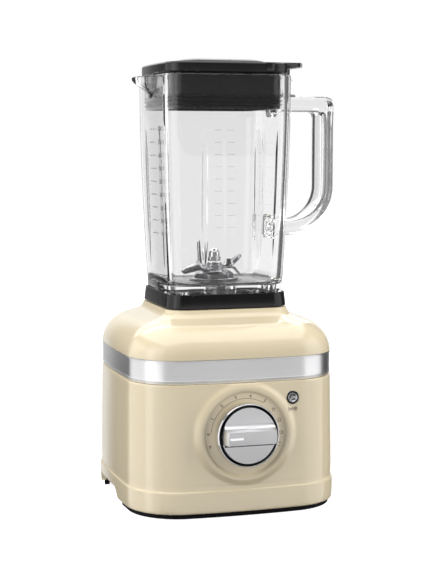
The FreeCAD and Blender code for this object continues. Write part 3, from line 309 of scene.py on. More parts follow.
def apply_modifiers(obj):
    """Keeps the shape that the modifiers give, and drops the modifiers."""
    graph = bpy.context.evaluated_depsgraph_get()
    mesh = bpy.data.meshes.new_from_object(obj.evaluated_get(graph))
    obj.modifiers.clear()
    obj.data = mesh


def boolean(obj, points, faces, operation="DIFFERENCE"):
    """Cuts, joins or crosses obj with a closed shape."""
    tool = add_object("tool", points, faces)
    step = obj.modifiers.new("boolean", "BOOLEAN")
    step.operation = operation
    step.solver = "EXACT"
    step.object = tool
    bpy.context.view_layer.update()
    apply_modifiers(obj)
    bpy.data.objects.remove(tool)


def bevel(obj, width, segments=3, angle=40.0):
    """Rounds the sharp edges of a piece."""
    step = obj.modifiers.new("bevel", "BEVEL")
    step.width = width * MM
    step.segments = segments
    step.limit_method = "ANGLE"
    step.angle_limit = math.radians(angle)
    step.harden_normals = False
    apply_modifiers(obj)


def finish_piece(obj, material, body, replaces=(), sharp=32.0):
    """Smooth shading with sharp creases, a material, and its place in the frame."""
    mesh = obj.data
    mesh.materials.clear()
    mesh.materials.append(material)
    mesh.polygons.foreach_set("use_smooth", [True] * len(mesh.polygons))
    mesh.set_sharp_from_angle(angle=math.radians(sharp))
    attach(obj, body)
    if replaces:
        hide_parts(*replaces)
    return obj


# ---------------------------------------------------------------- materials

def start_material(name):
    material = bpy.data.materials.new(name)
    material.use_nodes = True
    tree = material.node_tree
    return material, tree.nodes, tree.links, tree.nodes["Principled BSDF"]


def set_inputs(node, values):
    for name, value in values.items():
        node.inputs[name].default_value = value


def noise_of(nodes, links, scale, stretch=(1, 1, 1), detail=4.0):
    """Noise measured in the object's own metres."""
    place = nodes.new("ShaderNodeTexCoord")
    mapping = nodes.new("ShaderNodeMapping")
    noise = nodes.new("ShaderNodeTexNoise")
    set_inputs(mapping, {"Scale": stretch})
    set_inputs(noise, {"Scale": scale, "Detail": detail})
    links.new(place.outputs["Object"], mapping.inputs["Vector"])
    links.new(mapping.outputs["Vector"], noise.inputs["Vector"])
    return noise.outputs["Fac"]


def between(nodes, links, value, low, high):
    """Maps noise, which keeps near its middle, to a range."""
    ranged = nodes.new("ShaderNodeMapRange")
    set_inputs(ranged, {"From Min": 0.3, "From Max": 0.7, "To Min": low, "To Max": high})
    links.new(value, ranged.inputs["Value"])
    return ranged.outputs["Result"]


def tinted(nodes, links, value, colour, tint):
    """The colour, a little lighter and darker by noise."""
    mix = nodes.new("ShaderNodeMix")
    mix.data_type = "RGBA"
    mix.inputs["A"].default_value = (*[c * (1 - tint) for c in colour], 1)
    mix.inputs["B"].default_value = (*[min(c * (1 + tint), 1) for c in colour], 1)
    links.new(value, mix.inputs["Factor"])
    return mix.outputs["Result"]


def add_relief(nodes, links, shader, height, strength, distance):
    """Bumps a shader's surface by a height."""
    relief = nodes.new("ShaderNodeBump")
    set_inputs(relief, {"Strength": strength, "Distance": distance})
    links.new(height, relief.inputs["Height"])
    links.new(relief.outputs["Normal"], shader.inputs["Normal"])


def surface(name, colour, rough, metallic=0.0, tint=0.04, scale=60.0, stretch=(1, 1, 1),
            bump=0.0, bump_scale=900.0, bump_stretch=(1, 1, 1), coat=0.0, anisotropic=0.0,
            specular=0.5):
    """A shader whose colour, roughness and relief vary over the surface."""
    material, nodes, links, shader = start_material(name)
    value = noise_of(nodes, links, scale, stretch)
    links.new(tinted(nodes, links, value, colour, tint), shader.inputs["Base Color"])
    links.new(between(nodes, links, value, *rough), shader.inputs["Roughness"])
    set_inputs(shader, {"Metallic": metallic, "Specular IOR Level": specular, "Coat Weight": coat,
                        "Coat Roughness": 0.03, "Anisotropic": anisotropic})
    if anisotropic:
        around = nodes.new("ShaderNodeTangent")
        around.direction_type = "RADIAL"
        around.axis = "Z"
        links.new(around.outputs["Tangent"], shader.inputs["Tangent"])
        set_inputs(shader, {"Anisotropic Rotation": 0.25})
    if bump:
        fine = noise_of(nodes, links, bump_scale, bump_stretch, 3.0)
        add_relief(nodes, links, shader, fine, bump, 0.0002)
    return material


def glass_material(name, clear, edge, bump):
    """Clear glass whose colour is darkened where it is seen edge on, as painted shade for the dark
    edges of thick glass, and which lets lamps through to what is inside.
    """
    material, nodes, links, shader = start_material(name)
    # The base colour goes from clear to the edge colour as the surface turns edge on: painted shade
    # along the glass edges.
    facing = nodes.new("ShaderNodeLayerWeight")
    set_inputs(facing, {"Blend": 0.5})
    ramp = nodes.new("ShaderNodeValToRGB")
    for stop, place, colour in zip(ramp.color_ramp.elements, (0.80, 0.99), (clear, edge)):
        stop.position = place
        stop.color = (*colour, 1)
    links.new(facing.outputs["Facing"], ramp.inputs["Fac"])
    links.new(ramp.outputs["Color"], shader.inputs["Base Color"])
    set_inputs(shader, {"Transmission Weight": 1.0, "IOR": 1.5})
    value = noise_of(nodes, links, 25.0)
    links.new(between(nodes, links, value, 0.0, 0.012), shader.inputs["Roughness"])
    wave = noise_of(nodes, links, 45.0, (1.0, 1.0, 0.35), 1.5)
    add_relief(nodes, links, shader, wave, bump, 0.0006)
    path = nodes.new("ShaderNodeLightPath")
    through = nodes.new("ShaderNodeBsdfTransparent")
    set_inputs(through, {"Color": (0.93, 0.93, 0.93, 1)})
    mix = nodes.new("ShaderNodeMixShader")
    links.new(path.outputs["Is Shadow Ray"], mix.inputs["Fac"])
    links.new(shader.outputs["BSDF"], mix.inputs[1])
    links.new(through.outputs["BSDF"], mix.inputs[2])
    links.new(mix.outputs["Shader"], nodes["Material Output"].inputs["Surface"])
    return material


CREAM = (0.83, 0.715, 0.495)
PAINT = surface("cream_enamel", CREAM, (0.16, 0.20), tint=0.012, scale=14.0, bump=0.05,
                bump_scale=260.0, coat=0.8)
BAND = surface("brushed_band", (0.93, 0.93, 0.94), (0.38, 0.44), metallic=1.0, tint=0.012,
               scale=900.0, stretch=(0.02, 0.02, 1.0), bump=0.05, bump_scale=2400.0,
               bump_stretch=(0.012, 0.012, 1.0), anisotropic=0.9)
BLACK_PLASTIC = surface("black_plastic", (0.018, 0.018, 0.019), (0.28, 0.36), tint=0.2, scale=90.0,
                        bump=0.12, bump_scale=1500.0)
GLOSS_BLACK = surface("gloss_black_plastic", (0.006, 0.006, 0.007), (0.16, 0.20), tint=0.2,
                      scale=80.0, bump=0.03, bump_scale=900.0, specular=0.40)
LID_BLACK = surface("lid_black_plastic", (0.008, 0.008, 0.009), (0.22, 0.28), tint=0.15,
                    scale=70.0, bump=0.04, bump_scale=1600.0, specular=0.50)
RUBBER = surface("black_rubber", (0.016, 0.016, 0.017), (0.55, 0.70), tint=0.25, scale=120.0,
                 bump=0.3, bump_scale=1400.0)
RIBBED_RUBBER = surface("ribbed_rubber", (0.008, 0.008, 0.009), (0.46, 0.58), specular=0.06,
                        tint=0.25,
                        scale=110.0, bump=0.9, bump_scale=900.0, bump_stretch=(0.004, 0.004, 1.0))
SEAL = surface("seal_rubber", (0.010, 0.010, 0.011), (0.30, 0.42), specular=0.20, tint=0.15,
               scale=90.0,
               bump=0.15, bump_scale=1200.0)
GREY_PLASTIC = surface("grey_plastic", (0.24, 0.24, 0.25), (0.40, 0.52), tint=0.08, scale=80.0,
                       bump=0.15, bump_scale=1300.0)
SCREW = surface("zinc_screw", (0.62, 0.61, 0.58), (0.26, 0.42), metallic=1.0, tint=0.08,
                scale=300.0, bump=0.2, bump_scale=1800.0)
LAMINATED = surface("laminated_steel", (0.40, 0.39, 0.38), (0.34, 0.50), metallic=1.0, tint=0.15,
                    scale=200.0, bump=0.9, bump_scale=1500.0, bump_stretch=(0.004, 0.004, 1.0))
COPPER = surface("enamelled_copper", (0.70, 0.28, 0.12), (0.26, 0.40), metallic=1.0, tint=0.16,
                 scale=240.0, bump=0.9, bump_scale=1300.0, bump_stretch=(1.0, 0.02, 0.3), coat=0.5)
ALLOY = surface("cast_alloy", (0.56, 0.56, 0.57), (0.38, 0.56), metallic=1.0, tint=0.08,
                scale=120.0, bump=0.5, bump_scale=1100.0)
CARBON = surface("carbon", (0.030, 0.030, 0.032), (0.55, 0.70), tint=0.3, scale=350.0, bump=0.4)
BOARD = surface("circuit_board", (0.025, 0.13, 0.060), (0.28, 0.42), tint=0.30, scale=260.0,
                bump=0.25, bump_scale=500.0, coat=0.4)
LENS = surface("lamp_lens", (0.75, 0.78, 0.80), (0.08, 0.16), tint=0.05, scale=200.0, bump=0.1)
BEARING = surface("bearing_steel", (0.66, 0.66, 0.67), (0.16, 0.28), metallic=1.0, tint=0.06,
                  scale=260.0, bump=0.15)
BRONZE = surface("sintered_bronze", (0.60, 0.40, 0.20), (0.36, 0.52), metallic=1.0, tint=0.14,
                 scale=420.0, bump=0.5)
CHROME = surface("polished_chrome", (0.82, 0.82, 0.83), (0.03, 0.07), metallic=1.0, tint=0.02,
                 scale=40.0, bump=0.02, bump_scale=300.0)
DIAL_FACE = surface("brushed_dial", (0.90, 0.90, 0.91), (0.38, 0.44), metallic=1.0, tint=0.010,
                    scale=900.0, stretch=(0.02, 0.02, 1.0), bump=0.04, bump_scale=2600.0,
                    bump_stretch=(0.012, 0.012, 1.0), anisotropic=0.9)
HUB = surface("polished_hub_alloy", (0.26, 0.26, 0.27), (0.12, 0.20), metallic=1.0, tint=0.04,
              scale=200.0, bump=0.05)
BUTTON = surface("dark_button_metal", (0.40, 0.40, 0.41), (0.10, 0.16), metallic=1.0, tint=0.04,
                 scale=200.0, bump=0.05)
BLADE = surface("ground_blade_steel", (0.42, 0.42, 0.43), (0.14, 0.20), metallic=1.0, tint=0.05,
                scale=500.0, stretch=(1.0, 0.15, 1.0), bump=0.12, bump_scale=1500.0,
                bump_stretch=(1.0, 0.06, 1.0))
PRINT = surface("printed_marks", (0.17, 0.10, 0.09), (0.40, 0.50), tint=0.05, scale=400.0, bump=0.1)
FROST = surface("frosted_marks", (0.30, 0.30, 0.31), (0.35, 0.50), tint=0.1, scale=300.0, bump=0.2)
PALE_FROST = surface("pale_frosted_marks", (0.88, 0.88, 0.88), (0.35, 0.50), tint=0.03,
                     scale=300.0, bump=0.2)
# The dark grey edge colour is painted shade for the glass edges seen edge on.
GLASS = glass_material("thick_clear_glass", (0.998, 0.998, 0.998), (0.16, 0.16, 0.16), 0.05)


# ---------------------------------------------------------------- base

def body_shape(half):
    return (half, BAND_CORNER, *BAND_BOWS)


def body_half(z):
    """Half width of the painted wall: a curve through its three given heights."""
    total = 0.0
    for index, half in enumerate(BODY_HALVES):
        weight = 1.0
        for other, level in enumerate(BODY_LEVELS):
            if other != index:
                weight *= (z - level) / (BODY_LEVELS[index] - level)
        total += weight * half
    return total


def body_front(x, z):
    """Y of the painted front wall, without the ring around the dial."""
    shape = body_shape(body_half(z))
    _, centre, front_c, front_r = quarter(shape, 1, 1)
    crest = front_c[1] + (centre - front_c)[1] / np.linalg.norm(centre - front_c) * front_r
    edge = (centre - front_c)[0] / np.linalg.norm(centre - front_c) * front_r
    if abs(x) <= edge:
        return -(front_c[1] + math.sqrt(front_r ** 2 - x ** 2))
    return -(centre[1] + math.sqrt(BAND_CORNER ** 2 - (abs(x) - centre[0]) ** 2))


def with_boss(x, y, z):
    """Y of the front wall where it blends into the ring around the dial."""
    beyond = math.hypot(x - DIAL_X, z - DIAL_Z) - BOSS_CREST_R
    near = -(BOSS_CREST_Y + BOSS_FALL * max(beyond, 0.0) ** 2)
    far = -y
    share = max(BOSS_SOFTNESS - abs(near - far), 0.0) / BOSS_SOFTNESS
    blend = share * share * BOSS_SOFTNESS / 4 if beyond > 1.0 else 0.0
    return -max(near, far) - blend * min((beyond - 1.0) / 3.0, 1.0)


def arch_tool(side):
    """The space of a finger arch: an S-shaped slope at the front, a flat top, a square back."""
    front = -28.0
    back = 56.0
    top = 16.0
    foot = 5.7
    slope = 16.0
    inner = 77.0
    path = []
    for step in range(13):
        t = step / 12
        path.append((front + slope * t, foot + (top - foot) * (3 * t * t - 2 * t ** 3)))
    path += [(back, top), (back, -2.0), (front, -2.0)]
    ends = sorted((side * inner, side * (BODY_HIGH[0] + 8.0)))
    return extrude(path, ends[0], ends[1], "yz")


def rod_tool(radius, start, end, x, z):
    """Closed round bar along Y."""
    profile = [(0.0, start), (radius, start), (radius, end), (0.0, end)]
    return turned_front(profile, x, z, 64, closed=False)


def lower_housing():
    """Painted wall with the soft step of its skirt, and the flat-topped ring around the dial."""
    sides = 40
    corners = 24
    skirt = BODY_HIGH[0]
    bottom = BODY_LOW[2]
    outer = [(skirt - 2.4, bottom), (skirt - 1.4, bottom), (skirt - 0.80, bottom + 0.3),
             (skirt - 0.45, bottom + 0.9), (skirt - 0.32, bottom + 1.8), (skirt - 0.15, 12.0),
             (skirt, 18.0), (skirt, 24.8)]
    ledge = 26.0
    for inward, rise in ((0.02, 0.0), (0.07, 0.35), (0.19, 0.66), (0.38, 0.90), (0.60, 1.08),
                         (0.80, 1.26),
                         (0.95, 1.52), (1.05, 1.95), (1.12, 2.6), (1.17, 3.6), (1.18, 4.8)):
        outer.append((skirt - inward, ledge + rise))
    patch_low = len(outer)
    rows = 44
    start = 32.4
    for step in range(rows + 1):
        z = start + (BODY_LEVELS[2] - 0.9 - start) * step / rows
        outer.append((body_half(z) - 0.15 * max(0.0, 1 - (z - start) / 12) ** 2, z))
    patch_high = len(outer) - 1
    top = BODY_LEVELS[2]
    outer.append((body_half(top) - 0.25, top - 0.25))
    outer.append((body_half(top) - 0.9, top))
    rings = [outline(body_shape(half), z, sides, corners) for half, z in outer]
    for ring in rings:
        for point in ring:
            if point[1] < -60 and point[2] > 28:
                point[1] = with_boss(point[0], point[1], point[2])
    room = (BODY_HALVES[2] - WALL, BAND_CORNER - WALL, *BAND_BOWS)
    for shape, z in ((SPIGOT, top), (SPIGOT, SPIGOT_TOP - 0.4), (THROAT, SPIGOT_TOP - 0.4),
                     (THROAT, top - 8.5), (room, top - 9.5), (room, bottom)):
        rings.append(outline(shape, z, sides, corners))
    points, faces = join_rings(rings)
    count = len(rings[0])
    middle = 3 * (2 * sides + corners)
    first = middle - sides - 4
    last = middle + sides + 4

    def in_patch(face):
        row, column = divmod(min(face[0], face[1]), count)
        return patch_low <= row < patch_high and first <= column < last

    faces = [face for face in faces if not in_patch(face)]
    border = [(patch_low, column) for column in range(first, last)]
    border += [(row, last) for row in range(patch_low, patch_high)]
    border += [(patch_high, column) for column in range(last, first, -1)]
    border += [(row, first) for row in range(patch_high, patch_low, -1)]
    border = [row * count + column for row, column in border]

    def drawn_in(share, radius, y=None):
        """The patch's border moved towards a radius about the dial; at y, or else on the wall."""
        ring = []
        for x, _, z in points[border]:
            reach = math.hypot(x - DIAL_X, z - DIAL_Z)
            scale = (radius + (reach - radius) * share) / reach
            px = DIAL_X + (x - DIAL_X) * scale
            pz = DIAL_Z + (z - DIAL_Z) * scale
            ring.append((px, with_boss(px, body_front(px, pz), pz) if y is None else y, pz))
        return ring

    spread = 16
    lip = [(BOSS_CREST_R - inward, BOSS_CREST_Y + depth) for inward, depth in
           ((0.9, 0.02), (1.8, 0.12), (2.5, 0.40), (3.1, 0.95), (3.6, 1.65), (4.0, 2.20))]
    lip.append((BOSS_CREST_R - 4.4, DIAL_FLOOR_Y - 0.08))
    lip += [(radius, DIAL_FLOOR_Y)
            for radius in (BOSS_FLOOR_R, BOSS_FLOOR_R - 0.6, 34.0, 24.0, 12.0, 0.0)]
    added = [drawn_in((step / spread) ** 1.25, BOSS_CREST_R) for step in range(spread)]
    added += [drawn_in(0.0, radius, y) for radius, y in lip]
    loop = len(border)
    grid = [[len(points) + row * loop + i for i in range(loop)] for row in range(len(added))]
    chain = grid[:spread - 1:-1] + grid[:spread] + [border]
    for near, far in zip(chain, chain[1:]):
        for step in range(loop):
            after = (step + 1) % loop
            faces.append((near[step], near[after], far[after], far[step]))
    obj = add_object("painted_housing", np.concatenate([points, *added]), faces)
    seat = body_front(BUTTON_X, BUTTON_Z)
    tools = [arch_tool(1), arch_tool(-1), rod_tool(4.6, -112.0, -90.0, DIAL_X, DIAL_Z),
             rod_tool(6.3, 90.0, 115.0, 0.0, 17.0)]
    boolean(obj, *merge_shapes(tools))
    boolean(obj, *rod_tool(6.45, seat - 6.0, seat + 1.4, BUTTON_X, BUTTON_Z))
    boolean(obj, *rod_tool(5.8, seat - 7.0, -88.0, BUTTON_X, BUTTON_Z))
    finish_piece(obj, PAINT, "base", ["lower_housing"], 30.0)


def shoulder_path(by):
    """(half width, height) up the shoulder and neck, moved inwards by a wall thickness."""
    points = []
    for step in range(25):
        angle = math.radians(2 + 70 * step / 24)
        half = SHOULDER_CENTRE + (BAND_HIGH[0] - SHOULDER_CENTRE - by) * math.cos(angle)
        points.append((half, SHOULDER_START + (SHOULDER_RISE - by) * math.sin(angle)))
    radius = NECK_RADIUS + by
    for step in range(13):
        angle = math.radians(248 - 51 * step / 12)
        half = NECK_CENTRE[0] + radius * math.cos(angle)
        points.append((half, NECK_CENTRE[1] + radius * math.sin(angle)))
    return points


def shoulder_shape(half, by=0.0):
    """The outline changes from the band's to the neck's as it narrows."""
    share = (half + by - NECK_HALF) / (BAND_HIGH[0] - NECK_HALF)
    corner = NECK_CORNER + (BAND_CORNER - NECK_CORNER) * share - by
    side = NECK_BOW + (BAND_BOWS[0] - NECK_BOW) * share
    front = NECK_BOW + (BAND_BOWS[1] - NECK_BOW) * share
    return (half, corner, max(side, 0.3), max(front, 0.3))


def upper_housing():
    """Painted shoulder and neck over the band, with the well that the jar stands in."""
    sides = 24
    corners = 24
    count = 4 * (2 * sides + corners)
    low = NECK_LOW[2]
    rings = [outline(SPIGOT, low, sides, corners)]
    rings.append(outline(SPIGOT, BAND_HIGH[2] + 0.1, sides, corners))
    path = shoulder_path(0.0)
    rings.append(outline(shoulder_shape(path[0][0] - 0.6), BAND_HIGH[2] + 0.12, sides, corners))
    for half, z in path:
        rings.append(outline(shoulder_shape(half), max(z, BAND_HIGH[2] + 0.4), sides, corners))
    edge = 0.7
    for half, z in ((NECK_HALF, NECK_TOP - edge), (NECK_HALF - 0.2, NECK_TOP - 0.2),
                    (NECK_HALF - edge, NECK_TOP), (NECK_HALF - 4.7, NECK_TOP)):
        rings.append(outline(shoulder_shape(half), z, sides, corners))
    well = (NECK_HALF - 5.0, NECK_CORNER - 5.0, NECK_BOW, NECK_BOW)
    rings.append(outline(well, NECK_TOP - 0.3, sides, corners))
    rings.append(outline(well, 190.2, sides, corners))
    rings.append(circle(24.0, 190.2, count))
    rings.append(circle(24.0, 187.2, count))
    for half, z in reversed(shoulder_path(WALL)[:-1]):
        rings.append(outline(shoulder_shape(half, WALL), min(z, 187.2), sides, corners))
    rings.append(outline(THROAT, SHOULDER_START, sides, corners))
    rings.append(outline(THROAT, low, sides, corners))
    obj = add_object("painted_shoulder", *join_rings(rings))
    finish_piece(obj, PAINT, "base", ["upper_housing"], 30.0)


def trim_band():
    """Brushed band with a fine raised bead along each edge."""
    low = BAND_LOW[2]
    high = BAND_HIGH[2]
    inner = SPIGOT_HALF + 0.2 - BAND_HIGH[0]
    bead = 0.45
    profile = rounded([(inner, low, 0.1), (-1.3, low, 0.3), (0.0, low + 3.1, 0.3),
                       (-0.12, low + 3.5, 0.1),
                       (-bead, low + 3.7, 0.1), (-bead, high - 1.5, 0.1), (-0.12, high - 1.3, 0.1),
                       (0.0, high - 1.0, 0.2), (-0.75, high, 0.2), (inner, high, 0.1)], 4)
    rings = []
    for offset, z in profile:
        shape = (BAND_HIGH[0] + offset, BAND_CORNER + offset, *BAND_BOWS)
        rings.append(outline(shape, z, 24, 24))
    obj = add_object("brushed_trim_band", *join_rings(rings))
    finish_piece(obj, BAND, "base", ["trim_band"], 50.0)


def cord_grommet():
    """Rubber grommet in the back wall, with a rounded flange."""
    start = GLAND_LOW[1]
    end = GLAND_HIGH[1]
    bore = 3.75
    profile = rounded([(bore, start, 0.3), (8.6, start, 0.6), (8.6, start + 3.0, 0.4),
                       (6.1, start + 3.0, 0.2),
                       (6.1, end - 2.6, 0.2), (9.0, end - 2.6, 0.3), (9.0, end - 0.9, 0.9),
                       (6.4, end, 0.9), (bore, end, 0.8)], 4)
    obj = add_object("cord_grommet",
                     *turned_front(profile, 0.0, (GLAND_LOW[2] + GLAND_HIGH[2]) / 2, 72))
    finish_piece(obj, RUBBER, "base", ["cord_gland"], 50.0)


# ---------------------------------------------------------------- dial and start button

def dial_cup():
    """Polished outer wall of the dial with a thin rolled rim and a deep groove inside it."""
    back = CUP_HIGH[1]
    front = CUP_LOW[1]
    profile = rounded([(4.0, back, 0), (CUP_R - 0.3, back, 0.3), (CUP_R, back - 1.0, 0.3),
                       (CUP_R, front + 1.3, 0.8), (CUP_R - 0.7, front, 0.5),
                       (CUP_R - 1.35, front + 0.5, 0.4),
                       (CUP_R - 1.45, back - 2.4, 0.2), (4.0, back - 2.4, 0)], 5)
    obj = add_object("dial_cup", *turned_front(profile, DIAL_X, DIAL_Z, 160))
    finish_piece(obj, CHROME, "dial", ["knob_cup"], 50.0)


def dial_groove():
    """Matt black ring at the bottom of the groove between the cup and the disc."""
    back = CUP_HIGH[1] - 2.45
    profile = [(FACE_R + 0.05, back), (CUP_R - 1.5, back), (CUP_R - 1.4, back - 6.6),
               (CUP_R - 1.7, back - 6.7),
               (FACE_R + 0.4, back - 1.2), (FACE_R + 0.05, back - 1.2)]
    obj = add_object("dial_groove_ring", *turned_front(profile, DIAL_X, DIAL_Z, 128))
    finish_piece(obj, BLACK_PLASTIC, "dial", (), 40.0)


def dial_disc():
    """Brushed disc with a finger bar whose upper side sweeps down into the disc, and a black strip
    under the bar that is painted shadow.
    """
    back = FACE_HIGH[1]
    plate = CUP_LOW[1] - 0.8
    front = FACE_LOW[1] + 0.4
    profile = rounded([(0.0, back, 0), (FACE_R, back, 0.2), (FACE_R, plate, 0.5), (0.0, plate, 0)],
                      4, closed=False)
    disc = add_object("dial_disc", *turned_front(profile, DIAL_X, DIAL_Z, 144, closed=False))
    half = 6.5
    sweep = 5.8
    deep = plate + 2.0
    path = [(deep, -half), (front + 0.7, -half), (front + 0.2, -half + 0.2), (front, -half + 0.7),
            (front, half - 0.7), (front + 0.2, half - 0.2), (front + 0.7, half)]
    for step in range(13):
        angle = TURN / 4 * (1 - step / 12)
        path.append((plate - (plate - front - 1.2) * (1 - math.cos(angle)),
                     half + sweep * (1 - math.sin(angle))))
    path.append((deep, half + sweep))
    bar = extrude([(y, DIAL_Z + z) for y, z in path], -FACE_R - 1.0, FACE_R + 1.0, "yz")
    grip = add_object("dial_finger_bar", *bar)
    slant = 2.6
    rim = [(0.0, deep), (FACE_R, deep), (FACE_R - 0.1, plate - 1.0),
           (FACE_R - slant * 0.55, front + 3.0),
           (FACE_R - slant, front + 0.6), (FACE_R - slant - 0.7, front - 1.0), (0.0, front - 1.0)]
    boolean(grip, *turned_front(rim, DIAL_X, DIAL_Z, 144, closed=False), "INTERSECT")
    bevel(grip, 0.35, 3, 50.0)
    finish_piece(disc, DIAL_FACE, "dial", ["knob_face"], 40.0)
    finish_piece(grip, DIAL_FACE, "dial", (), 30.0)
    # Black strip flush with the disc just under the bar: painted shadow where the bar's shade falls,
    # not a real part.
    chord = FACE_R - 2.2
    shadow_strip = rectangle(-chord, DIAL_Z - half - 3.1, chord, DIAL_Z - half + 0.2)
    shadow = add_object("dial_bar_painted_shadow", *extrude(shadow_strip, plate - 0.06, plate + 0.6, "xz"))
    finish_piece(shadow, BLACK_PLASTIC, "dial", (), 40.0)
    pill = []
    length = (-22.4, -8.8)
    radius = 1.5
    for step in range(24):
        angle = TURN * step / 24
        end = length[1] - radius if math.cos(angle) > 0 else length[0] + radius
        pill.append((end + radius * math.cos(angle), DIAL_Z + radius * math.sin(angle)))
    mark = add_object("dial_pointer", *extrude(pill, FACE_LOW[1], front + 0.6, "xz"))
    bevel(mark, 0.3, 3, 50.0)
    finish_piece(mark, CHROME, "dial", (), 40.0)


def text_shape(text, size, x, z, y, turn=0.0):
    """Flat characters that face the front, as a thin solid."""
    curve = bpy.data.curves.new("mark", "FONT")
    curve.body = text
    curve.size = size
    curve.align_x = "CENTER"
    curve.align_y = "CENTER"
    curve.extrude = 0.04
    curve.offset = 0.03 * size
    curve.resolution_u = 4
    holder = new_object("mark", curve)
    bpy.context.view_layer.update()
    graph = bpy.context.evaluated_depsgraph_get()
    mesh = bpy.data.meshes.new_from_object(holder.evaluated_get(graph))
    points, faces = shape_of(mesh)
    bpy.data.objects.remove(holder)
    bpy.data.meshes.remove(mesh)
    c, s = math.cos(turn), math.sin(turn)
    placed = np.column_stack([x + points[:, 0] * c - points[:, 1] * s, y - points[:, 2],
                              z + points[:, 0] * s + points[:, 1] * c])
    return placed, faces


def arc_band(radius, width, start, end, y, x, z, steps=48):
    """Thin raised line along an arc that faces the front; angles in degrees from +X."""
    rings = []
    for step in range(steps + 1):
        angle = math.radians(start + (end - start) * step / steps)
        ring = []
        for reach, depth in rectangle(radius, 0.0, radius + width, PRINT_DEPTH):
            ring.append((x + reach * math.cos(angle), y - depth, z + reach * math.sin(angle)))
        rings.append(np.array(ring))
    return join_rings(rings, closed=False, capped=abs(end - start) < 359)


def bar_mark(x0, z0, x1, z1, width, y):
    """Thin raised line between two points that faces the front."""
    along = np.array((x1 - x0, z1 - z0))
    across = np.array((-along[1], along[0])) / np.linalg.norm(along) * width / 2
    path = [(x0 + across[0], z0 + across[1]), (x1 + across[0], z1 + across[1]),
            (x1 - across[0], z1 - across[1]), (x0 - across[0], z0 - across[1])]
    return extrude(path, y - PRINT_DEPTH, y, "xz")


# A plain sign is its bars as (x0, z0, x1, z1), then its arcs as (radius, start, end, x, z, steps).
PROGRAMME_SIGNS = (
    (((-1.0, 1.8, -1.3, -0.4), (1.0, 1.8, 1.3, -0.4), (-1.0, 0.6, 1.0, 0.6)),
     ((1.2, 180, 360, 0.0, -0.3, 12),)),
    (((-1.3, -1.6, -1.3, 1.0), (1.3, -1.6, 1.3, 1.0), (-1.3, -1.6, 1.3, -1.6),
      (-1.3, -0.2, 1.3, -0.2)), ((1.1, 20, 160, 0.0, 0.6, 12),)),
    (((-1.7, 1.3, 1.0, 1.3), (-1.5, 1.3, -1.0, -1.5), (-1.1, -1.5, 0.9, -1.5),
      (0.9, 1.3, 0.9, -1.5)), ((0.8, -90, 90, 0.9, 0.0, 12),)),
    (((0.3, 0.9, 1.6, 0.9),), ((1.6, 40, 320, 0.0, 0.0, 24),)),
)
START_SIGN = (((-4.8, -1.7, -4.8, 1.7), (-4.8, 1.7, -2.0, 0.0), (-4.8, -1.7, -2.0, 0.0),
               (-0.9, -1.9, -0.1, 1.9), (2.0, -0.9, 3.8, 0.9), (2.0, 0.9, 3.8, -0.9)),
              ((1.5, 0, 360, 2.9, 0.0, 32),))
SIGN_DEGREES = (38.0, 18.4, -1.0, -19.0)
FIGURE_DEGREES = {"0": 178.0, "P": 198.0, "1": 154.0, "2": 130.0, "3": 105.5, "4": 82.0, "5": 57.6}


def sign_shapes(sign, x, z, y):
    """The bars and arcs of a sign, placed at x and z."""
    bars, arcs = sign
    shapes = [bar_mark(x + x0, z + z0, x + x1, z + z1, PRINT_LINE, y) for x0, z0, x1, z1 in bars]
    for radius, start, end, aside, up, steps in arcs:
        shapes.append(arc_band(radius, PRINT_LINE, start, end, y, x + aside, z + up, steps))
    return shapes


def dial_marks():
    """Scale of the dial: figures, their arc, the programme signs and the start sign."""
    y = DIAL_FLOOR_Y + 0.01
    figure_r = 35.9
    sign_r = 35.4
    shapes = []
    for text, degrees in FIGURE_DEGREES.items():
        angle = math.radians(degrees)
        x = DIAL_X + figure_r * math.cos(angle)
        z = DIAL_Z + figure_r * math.sin(angle)
        turn = angle + TURN / 2 if text == "P" else angle - TURN / 4
        shapes.append(text_shape(text, 4.1, x, z, y, turn))
    shapes.append(arc_band(33.3, PRINT_LINE, 57.6, 176.0, y, DIAL_X, DIAL_Z))
    for sign, degrees in zip(PROGRAMME_SIGNS, SIGN_DEGREES):
        angle = math.radians(degrees)
        shapes += sign_shapes(sign, DIAL_X + sign_r * math.cos(angle),
                              DIAL_Z + sign_r * math.sin(angle), y)
    obj = add_object("dial_scale", *merge_shapes(shapes))
    finish_piece(obj, PRINT, "base", (), 30.0)
    points, faces = merge_shapes(sign_shapes(START_SIGN, BUTTON_X, BUTTON_Z - 10.8, 0.0))
    for point in points:
        point[1] += with_boss(point[0], body_front(point[0], point[2]), point[2]) - 0.14
    obj = add_object("start_sign", points, faces)
    finish_piece(obj, PRINT, "base", (), 30.0)


